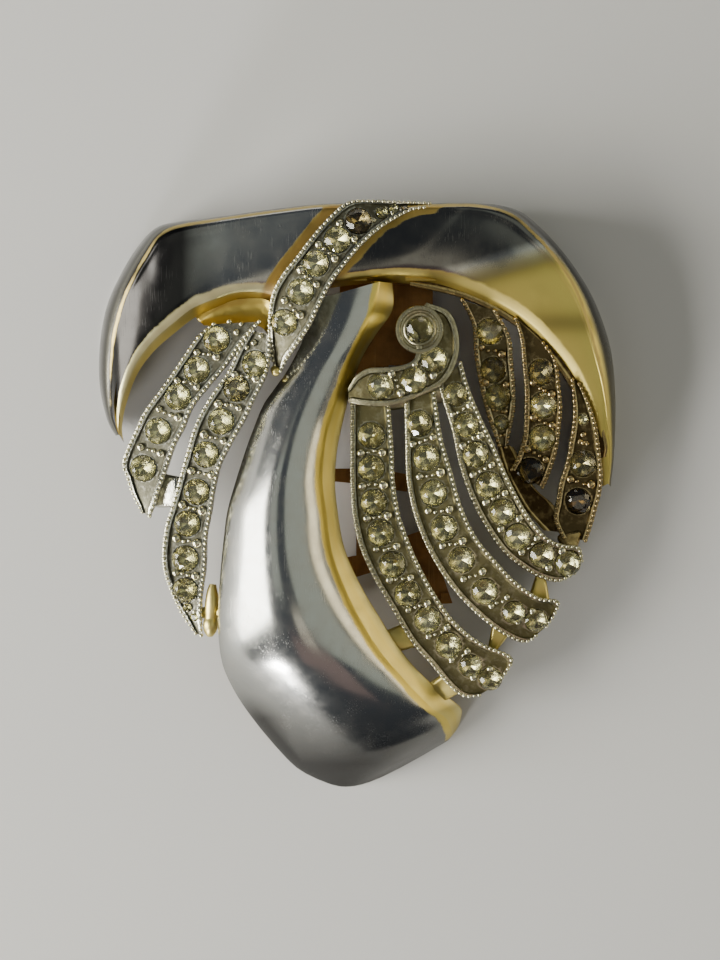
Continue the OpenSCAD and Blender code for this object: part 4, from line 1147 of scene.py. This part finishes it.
STONE_POINTS, STONE_FACES, CROWN_COUNT = cut_stone()
master_mesh = bpy.data.meshes.new("cut_stone")
master_mesh.from_pydata(STONE_POINTS.tolist(), [], STONE_FACES)
foiled = np.arange(len(STONE_FACES)) >= CROWN_COUNT
master_mesh.attributes.new("foiled", "BOOLEAN", "FACE").data.foreach_set("value", foiled)
face_outwards(master_mesh)
master = linked("cut_stone", master_mesh)
print("facets of a stone:", len(STONE_FACES))


# %% Glass and foil
def paste_glass():
    """Clear glass, a little yellow with age, and brown by the mask "shade"."""
    material, tree, shader = new_material("paste_glass")
    colour = blend_colours(tree, mask_of(tree, "shade"), (0.93, 0.93, 0.68), (0.42, 0.34, 0.16))
    feed(tree, shader, Base_Color=colour, Roughness=0.03, IOR=1.56, Transmission_Weight=1.0)
    return material


def foil_back():
    """The foil behind a stone, tarnished in blotches."""
    material, tree, shader = new_material("stone_foil")
    blotch = effect(tree, BLOTCHES, Size=2600.0, Contrast=0.8)
    foil = blend_colours(tree, blotch, (0.86, 0.83, 0.62), (0.32, 0.31, 0.18))
    colour = blend_colours(tree, mask_of(tree, "shade"), foil, (0.10, 0.07, 0.03))
    feed(tree, shader, Base_Color=colour, Metallic=1.0, Roughness=plus(tree, 0.12, blotch, 0.25))
    return material


PASTE = paste_glass()
FOIL = foil_back()


# %% Tree that sets the stones
def stone_tree():
    """A copy of the cut stone on each point, along its facing, with its size and turn."""
    tree, ends, out = geometry_tree("set_stones", {
        "Stone": ("Object", None), "Glass": ("Material", None), "Foil": ("Material", None)})
    cut = add(tree, "GeometryNodeObjectInfo", Object=ends.outputs["Stone"])
    turn = attribute(tree, "turn", "FLOAT")
    spin = add(tree, "FunctionNodeAxisAngleToRotation", Axis=(0, 0, 1), Angle=turn)
    facing = add(tree, "FunctionNodeAlignRotationToVector", axis="Z", Rotation=spin.outputs[0],
                 Vector=attribute(tree, "facing", "FLOAT_VECTOR"))
    stones = add(tree, "GeometryNodeInstanceOnPoints", Points=ends.outputs["Geometry"],
                 Instance=cut.outputs["Geometry"], Rotation=facing.outputs[0],
                 Scale=attribute(tree, "radius", "FLOAT"))
    real = add(tree, "GeometryNodeRealizeInstances", Geometry=stones.outputs[0])
    glass = add(tree, "GeometryNodeSetMaterial", Geometry=real.outputs[0], Material=ends.outputs["Glass"])
    foil = add(tree, "GeometryNodeSetMaterial", Geometry=glass.outputs[0], Material=ends.outputs["Foil"],
               Selection=attribute(tree, "foiled", "BOOLEAN"))
    tree.links.new(foil.outputs[0], out.inputs[0])
    return tree


SET_STONES = stone_tree()

# %% Stones in their rows, a few of them dark
DARK = {"band": {0: 0.6, 3: 0.6}, "feather_inner": {1: 0.3}, "rib_d": {1: 0.4}, "rib_e": {0: 0.4, 3: 0.75},
        "rib_f": {1: 0.35, 2: 0.95}}
for name, frames in FRAMES.items():
    at = [f[0] + f[3] * STONE_LIFT for f in frames]
    stones = points_object(
        "paste_" + name, at, facing=[f[3] for f in frames], radius=[f[4] * MM for f in frames],
        turn=dice.uniform(0, 2 * math.pi, len(frames)),
        shade=[DARK.get(name, {}).get(i, 0) + dice.uniform(0, 0.16) for i in range(len(frames))])
    run_tree(stones, SET_STONES, Stone=master, Glass=PASTE, Foil=FOIL)
    finish_piece(stones, None, "stones_" + name)
    print(stones.name, len(frames), "stones,", len(stones.data.polygons), "facets")
bpy.data.objects.remove(master)

# %% [markdown]
# ## The scroll's head, the webs and the pads
#
# The scroll ends in a round collet, raised above everything round it, with a thin ring inside a broad
# one. Small webs of metal join the tips of the ribs to each other, as they do where a casting's moulds
# meet.

# %% Scroll head
HEAD_R = 2.05
HEAD_H = 2.2


def turned(name, profile, at, sides=64):
    """A closed ring of a profile of (radius, height) turned about an upright axis."""
    a = np.arange(sides) * 2 * np.pi / sides
    rings = np.array([[[r * math.cos(t), r * math.sin(t), z] for r, z in profile] for t in a]) + at
    count = len(profile)
    index = np.arange(sides * count).reshape(sides, count)
    faces = []
    for i in range(sides):
        n = (i + 1) % sides
        for j in range(count):
            k = (j + 1) % count
            faces.append((index[i, j], index[n, j], index[n, k], index[i, k]))
    return solid(name, rings.reshape(-1, 3), faces, {"dirt": 0.35})


collet = [(0.3, -HEAD_H), (HEAD_R, -HEAD_H), (HEAD_R, -0.12), (HEAD_R - 0.06, -0.02), (HEAD_R - 0.16, 0),
          (HEAD_R - 0.34, -0.03), (HEAD_R - 0.44, -0.2), (R + 0.42, -0.24), (R + 0.36, -0.12),
          (R + 0.26, -0.04), (R + 0.14, -0.06), (R + 0.06, -0.16), (R + 0.05, -0.75), (0.3, -0.85)]
head = turned("scroll_head", collet, HEAD_AT)
finish_piece(head, SET_METALS["scroll"])

# %% Webs, each a rounded plate between its corners
WEB_ROUND = Vector((0.38, 0.38, 0.52))
WEBS = {
    "web_feathers": ([(-18.0, -0.3, 4.1), (-16.7, 1.6, 4.8), (-15.6, 1.4, 5.9), (-15.5, -0.5, 5.9),
                      (-17.0, -0.6, 4.7)], BRIGHT_METAL),
    "web_drop_strut": ([(2.2, -13.2, 5.2), (4.6, -12.6, 5.4), (3.7, -11.3, 5.4), (1.6, -12.2, 5.4)],
                       PLATED),
    "web_drop_rib": ([(7.0, -17.4, 3.0), (9.0, -16.2, 4.5), (7.8, -15.2, 4.7), (5.8, -16.6, 3.6)], PLATED),
    "web_a_b": ([(11.4, -13.2, 4.8), (12.8, -11.4, 4.9), (11.8, -11.0, 4.9)], PLATED),
    "web_b_c": ([(14.7, -9.4, 5.0), (16.0, -8.8, 5.0), (15.6, -6.6, 5.1)], PLATED),
    "web_c_f": ([(18.2, -4.9, 4.6), (18.8, -3.2, 4.5), (17.4, -3.6, 4.6)], VALLEY_METAL),
    "web_scroll_ribs": ([(2.0, 7.6, 7.2), (7.4, 8.4, 7.2), (7.4, 9.4, 7.4)], SET_METALS["scroll"])}


def web(name, corners, material):
    """A hull round small balls at the corners, which rounds its edges."""
    bm = bmesh.new()
    tilts = np.linspace(0, np.pi, 8)
    turns = np.arange(14) * np.pi / 7
    ball = [Vector((math.sin(t) * math.cos(a), math.sin(t) * math.sin(a), math.cos(t))) * WEB_ROUND
            for t in tilts[1:-1] for a in turns]
    for corner in corners:
        for point in ball:
            bm.verts.new((Vector(corner) + point) * MM)
    bmesh.ops.convex_hull(bm, input=bm.verts)
    bmesh.ops.delete(bm, geom=[v for v in bm.verts if not v.link_faces], context="VERTS")
    bm.verts.index_update()
    points = np.array([v.co[:] for v in bm.verts]) / MM
    faces = [[v.index for v in f.verts] for f in bm.faces]
    bm.free()
    masks = {"gilt": 1.0, "dirt": 0.0 if material == BRIGHT_METAL else 0.4, "worn": 0.2}
    finish_piece(solid(name, points, faces, masks, sharp_deg=60), material)


for name, (corners, material) in WEBS.items():
    web(name, corners, material)
print("webs:", len(WEBS))

# %% Struts, each a rounded bar through points of x, y, z and radius
STRUTS = {
    "strut_feather_drop": [(-12.45, -7.5, 5.9, 0.28), (-12.5, -8.1, 5.85, 0.46), (-12.5, -9.0, 5.8, 0.62),
                           (-12.55, -9.8, 5.7, 0.62), (-12.6, -10.4, 5.6, 0.56), (-12.65, -11.0, 5.6, 0.66),
                           (-12.7, -11.6, 5.4, 0.5), (-12.7, -11.95, 5.3, 0.25)],
    "strut_feather_side": [(-13.6, -10.0, 4.9, 0.5), (-12.6, -9.9, 5.3, 0.5), (-11.4, -9.8, 6.0, 0.5)],
    "strut_band_tip": [(-7.35, 10.95, 8.0, 0.22), (-7.05, 10.7, 8.15, 0.42), (-6.8, 10.5, 8.1, 0.3)]}


def strut(name, rows, steps=30, sides=16):
    """A closed round bar that swells and shrinks along its way."""
    way = smooth(rows, steps)
    ahead = unit(np.gradient(way[:, :3], axis=0))
    side = unit(np.cross(ahead, [0, 0, 1.0]))
    over = np.cross(side, ahead)
    a = (np.arange(sides) * 2 * np.pi / sides)[None, :, None]
    rings = way[:, None, :3] + way[:, None, 3:] * (np.cos(a) * side[:, None] + np.sin(a) * over[:, None])
    index = np.arange((steps + 1) * sides).reshape(steps + 1, sides)
    faces = [(index[i, j], index[i, (j + 1) % sides], index[i + 1, (j + 1) % sides], index[i + 1, j])
             for i in range(steps) for j in range(sides)]
    faces += [tuple(index[0, ::-1]), tuple(index[-1])]
    finish_piece(solid(name, rings.reshape(-1, 3), faces, {"gilt": 1.0, "worn": 0.3}), PLATED)


for name, rows in STRUTS.items():
    strut(name, rows)

# %% Gilt wall between the left shoulder and the feathers: its shoulder edge, then its feather edge
WALL_ROWS = [
    (-13.9, 15.3, 6.9, -13.2, 14.6, 7.3), (-12.6, 16.2, 7.2, -12.5, 14.6, 7.6),
    (-11.0, 16.7, 7.3, -11.0, 14.7, 7.8), (-9.4, 16.9, 7.4, -9.6, 14.7, 8.0),
    (-7.9, 16.8, 7.6, -8.7, 14.6, 8.1), (-7.1, 15.9, 7.8, -8.0, 14.2, 8.2),
    (-7.0, 14.4, 7.9, -7.7, 13.6, 8.2), (-7.0, 13.0, 8.0, -7.4, 12.9, 8.2)]
WALL_THICK = 0.9
WALL_SAG = 0.5
WALL_LUMPS = 0.09
lumps = np.random.default_rng(3)
rows = smooth(WALL_ROWS, 40)
shares = np.linspace(0, 1, 12)[None, :, None]
top = rows[:, None, 0:3] * (1 - shares) + rows[:, None, 3:6] * shares
sag = WALL_SAG * np.sin(np.pi * shares[:, :, 0])
top[:, :, 2] -= sag + lumps.uniform(0, WALL_LUMPS, top.shape[:2])
# The wall's gilt is a little darker, painted shade.
wall = solid("feather_wall", *slab(top, top - [0, 0, WALL_THICK]), {"gilt": 1.0, "deep": 0.35}, 80)
finish_piece(wall, PLATED)

# %% Wall that joins the shoulders behind the band's upper end: its top edge, then its foot, both x, y and z
JOIN_ROWS = [
    (-1.6, 24.0, 8.8, -1.5, 25.0, 3.3), (-0.4, 24.4, 9.1, -0.3, 25.1, 3.2),
    (1.2, 24.5, 9.2, 1.2, 25.1, 3.2), (2.6, 24.4, 9.0, 2.7, 25.1, 3.2), (3.8, 24.0, 8.7, 3.9, 25.0, 3.2)]
rows = smooth(JOIN_ROWS, 24)
JOIN_BULGE = ((0.0, 0.0), (0.55, 0.1), (0.9, 0.4), (1.0, 0.75), (1.0, 1.0))
fall = rows[:, 3:] - rows[:, :3]
outer = np.stack([rows[:, :3] + fall * [out, out, down] for out, down in JOIN_BULGE], 1)
# This wall is painted dark all over, a painted dark reflection.
join = solid("shoulder_join", *slab(outer, outer - [0, 1.0, 0.3]), {"gilt": 0.0, "tarnish": 0.9})
finish_piece(join, PLATED)

# %% Pads that the clip's base is soldered to
PAD_X = (-1.9, 4.0)
PAD_LOW = (18.4, 4.75)
PAD_SIZE = (2.6, 4.2, 3.4)
# The pads' gilt is darker, painted shade.
for index, x in enumerate(PAD_X):
    low = np.array([x, *PAD_LOW])
    high = low + PAD_SIZE
    box = bmesh.new()
    bmesh.ops.create_cube(box, size=1.0)
    points = (low + high) / 2 + np.array([v.co[:] for v in box.verts]) * PAD_SIZE
    faces = [[v.index for v in f.verts] for f in box.faces]
    box.free()
    finish_piece(solid(f"pad_{index + 1}", points, faces, {"gilt": 1.0, "deep": 0.6}), PLATED)

# %% [markdown]
# ## The clip
#
# Behind the casting a flat lever turns on a pin between two ears. It is brass, once gilt and now brown
# and dull, and it shows as warm shapes through the pierced work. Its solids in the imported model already
# have the right form, so they stay and only get a material.

# %% Clip metal
def clip_metal():
    """Dull brown gilding with paler rubbed patches."""
    material, tree, shader = new_material("clip_metal")
    blotch = effect(tree, BLOTCHES, Size=500.0, Contrast=1.0)
    lines = effect(tree, SCRATCHES, Fineness=7000.0, Amount=1.0)
    colour = blend_colours(tree, blotch, (0.46, 0.22, 0.07), (0.22, 0.11, 0.04))
    colour = blend_colours(tree, times(tree, lines, 0.5), colour, (0.66, 0.42, 0.16))
    feed(tree, shader, Base_Color=colour, Metallic=1.0, Roughness=plus(tree, 0.28, blotch, 0.2))
    bump(tree, shader, lines, 0.2, 0.00003)
    return material


CLIP = clip_metal()
for name in ("clip_base", "hinge_pin", "clip_lever"):
    node = frame["nodes"][name]
    node.data.materials.clear()
    node.data.materials.append(CLIP)

# %% [markdown]
# ## Floor, light and camera
#
# Polished metal shows its surroundings, so the light is most of the picture. A large soft light low on
# the left gives the long white highlight on the drop. Smaller lights catch the edges, dim cards overhead
# are what the flat faces reflect, and a dim grey world keeps the rest dark. The camera looks straight
# down with a long lens, so that near and far parts keep one scale.

# %% Floor
FLOOR_SIZE = 1.6
FLOOR_COLOUR = (0.58, 0.573, 0.565, 1)
bpy.ops.mesh.primitive_plane_add(size=FLOOR_SIZE, location=(0, 0, 0))
floor = bpy.context.object
floor.name = "floor"
floor_material, tree, shader = new_material("pale_floor")
feed(tree, shader, Base_Color=FLOOR_COLOUR, Roughness=0.8)
floor.data.materials.append(floor_material)

# %% Lights: place, size, watts and colour
LIGHTS = {
    "window": ((-0.364, -0.060, 0.153), (0.28, 0.283), 4.5, (1.0, 0.98, 0.89)),
    "spot": ((-0.230, -0.369, 0.090), (0.08, 0.08), 1.8, (1.0, 0.98, 0.94)),
    "rim": ((0.42, 0.06, 0.09), (0.30, 0.12), 0.35, (1.0, 0.86, 0.55)),
    "back": ((0.02, 0.42, 0.09), (0.30, 0.12), 0.2, (1.0, 0.95, 0.85)),
    "high_card": ((-0.175, 0.0, 0.415), (0.24, 0.15), 0.065, (0.96, 1.0, 0.84)),
    "grey_card": ((0.30, 0.08, 0.40), (0.5, 0.5), 0.45, (0.96, 1.0, 0.80)),
    "warm_card": ((0.083, -0.31, 0.383), (0.42, 0.20), 0.075, (1.0, 0.62, 0.50)),
    "gold_card": ((0.06, -0.18, 0.45), (0.14, 0.10), 0.05, (1.0, 0.92, 0.70))}
CENTRE = Vector((0, 0, 0.005))
for name, (at, size, watts, colour) in LIGHTS.items():
    light = bpy.data.lights.new(name, "AREA")
    light.shape = "RECTANGLE"
    light.size, light.size_y = size
    light.energy = watts
    light.color = colour
    lamp = linked(name, light)
    lamp.location = at
    lamp.rotation_euler = (CENTRE - Vector(at)).to_track_quat("-Z", "Y").to_euler()
world = bpy.data.worlds.new("studio")
bpy.context.scene.world = world
world.use_nodes = True
feed(world.node_tree, world.node_tree.nodes["Background"], Color=(0.30, 0.33, 0.37, 1), Strength=0.35)

# %% Camera
WIDE_PX, HIGH_PX = 720, 960
MM_PER_PX = 0.0855
MIDDLE_PX = (358.5, 496.5)
DISTANCE = 0.6
SCALE_Z = 6
SENSOR = 36.0
camera_data = bpy.data.cameras.new("camera")
camera_data.sensor_fit = "VERTICAL"
camera_data.sensor_height = SENSOR
camera_data.lens = SENSOR * DISTANCE / (HIGH_PX * MM_PER_PX * MM)
camera_data.clip_start = 0.01
camera = linked("camera", camera_data)
look_x = (WIDE_PX / 2 - MIDDLE_PX[0]) * MM_PER_PX * MM
look_y = (MIDDLE_PX[1] - HIGH_PX / 2) * MM_PER_PX * MM
camera.location = (look_x, look_y, DISTANCE + SCALE_Z * MM)
bpy.context.scene.camera = camera
print("lens:", round(camera_data.lens), "mm")
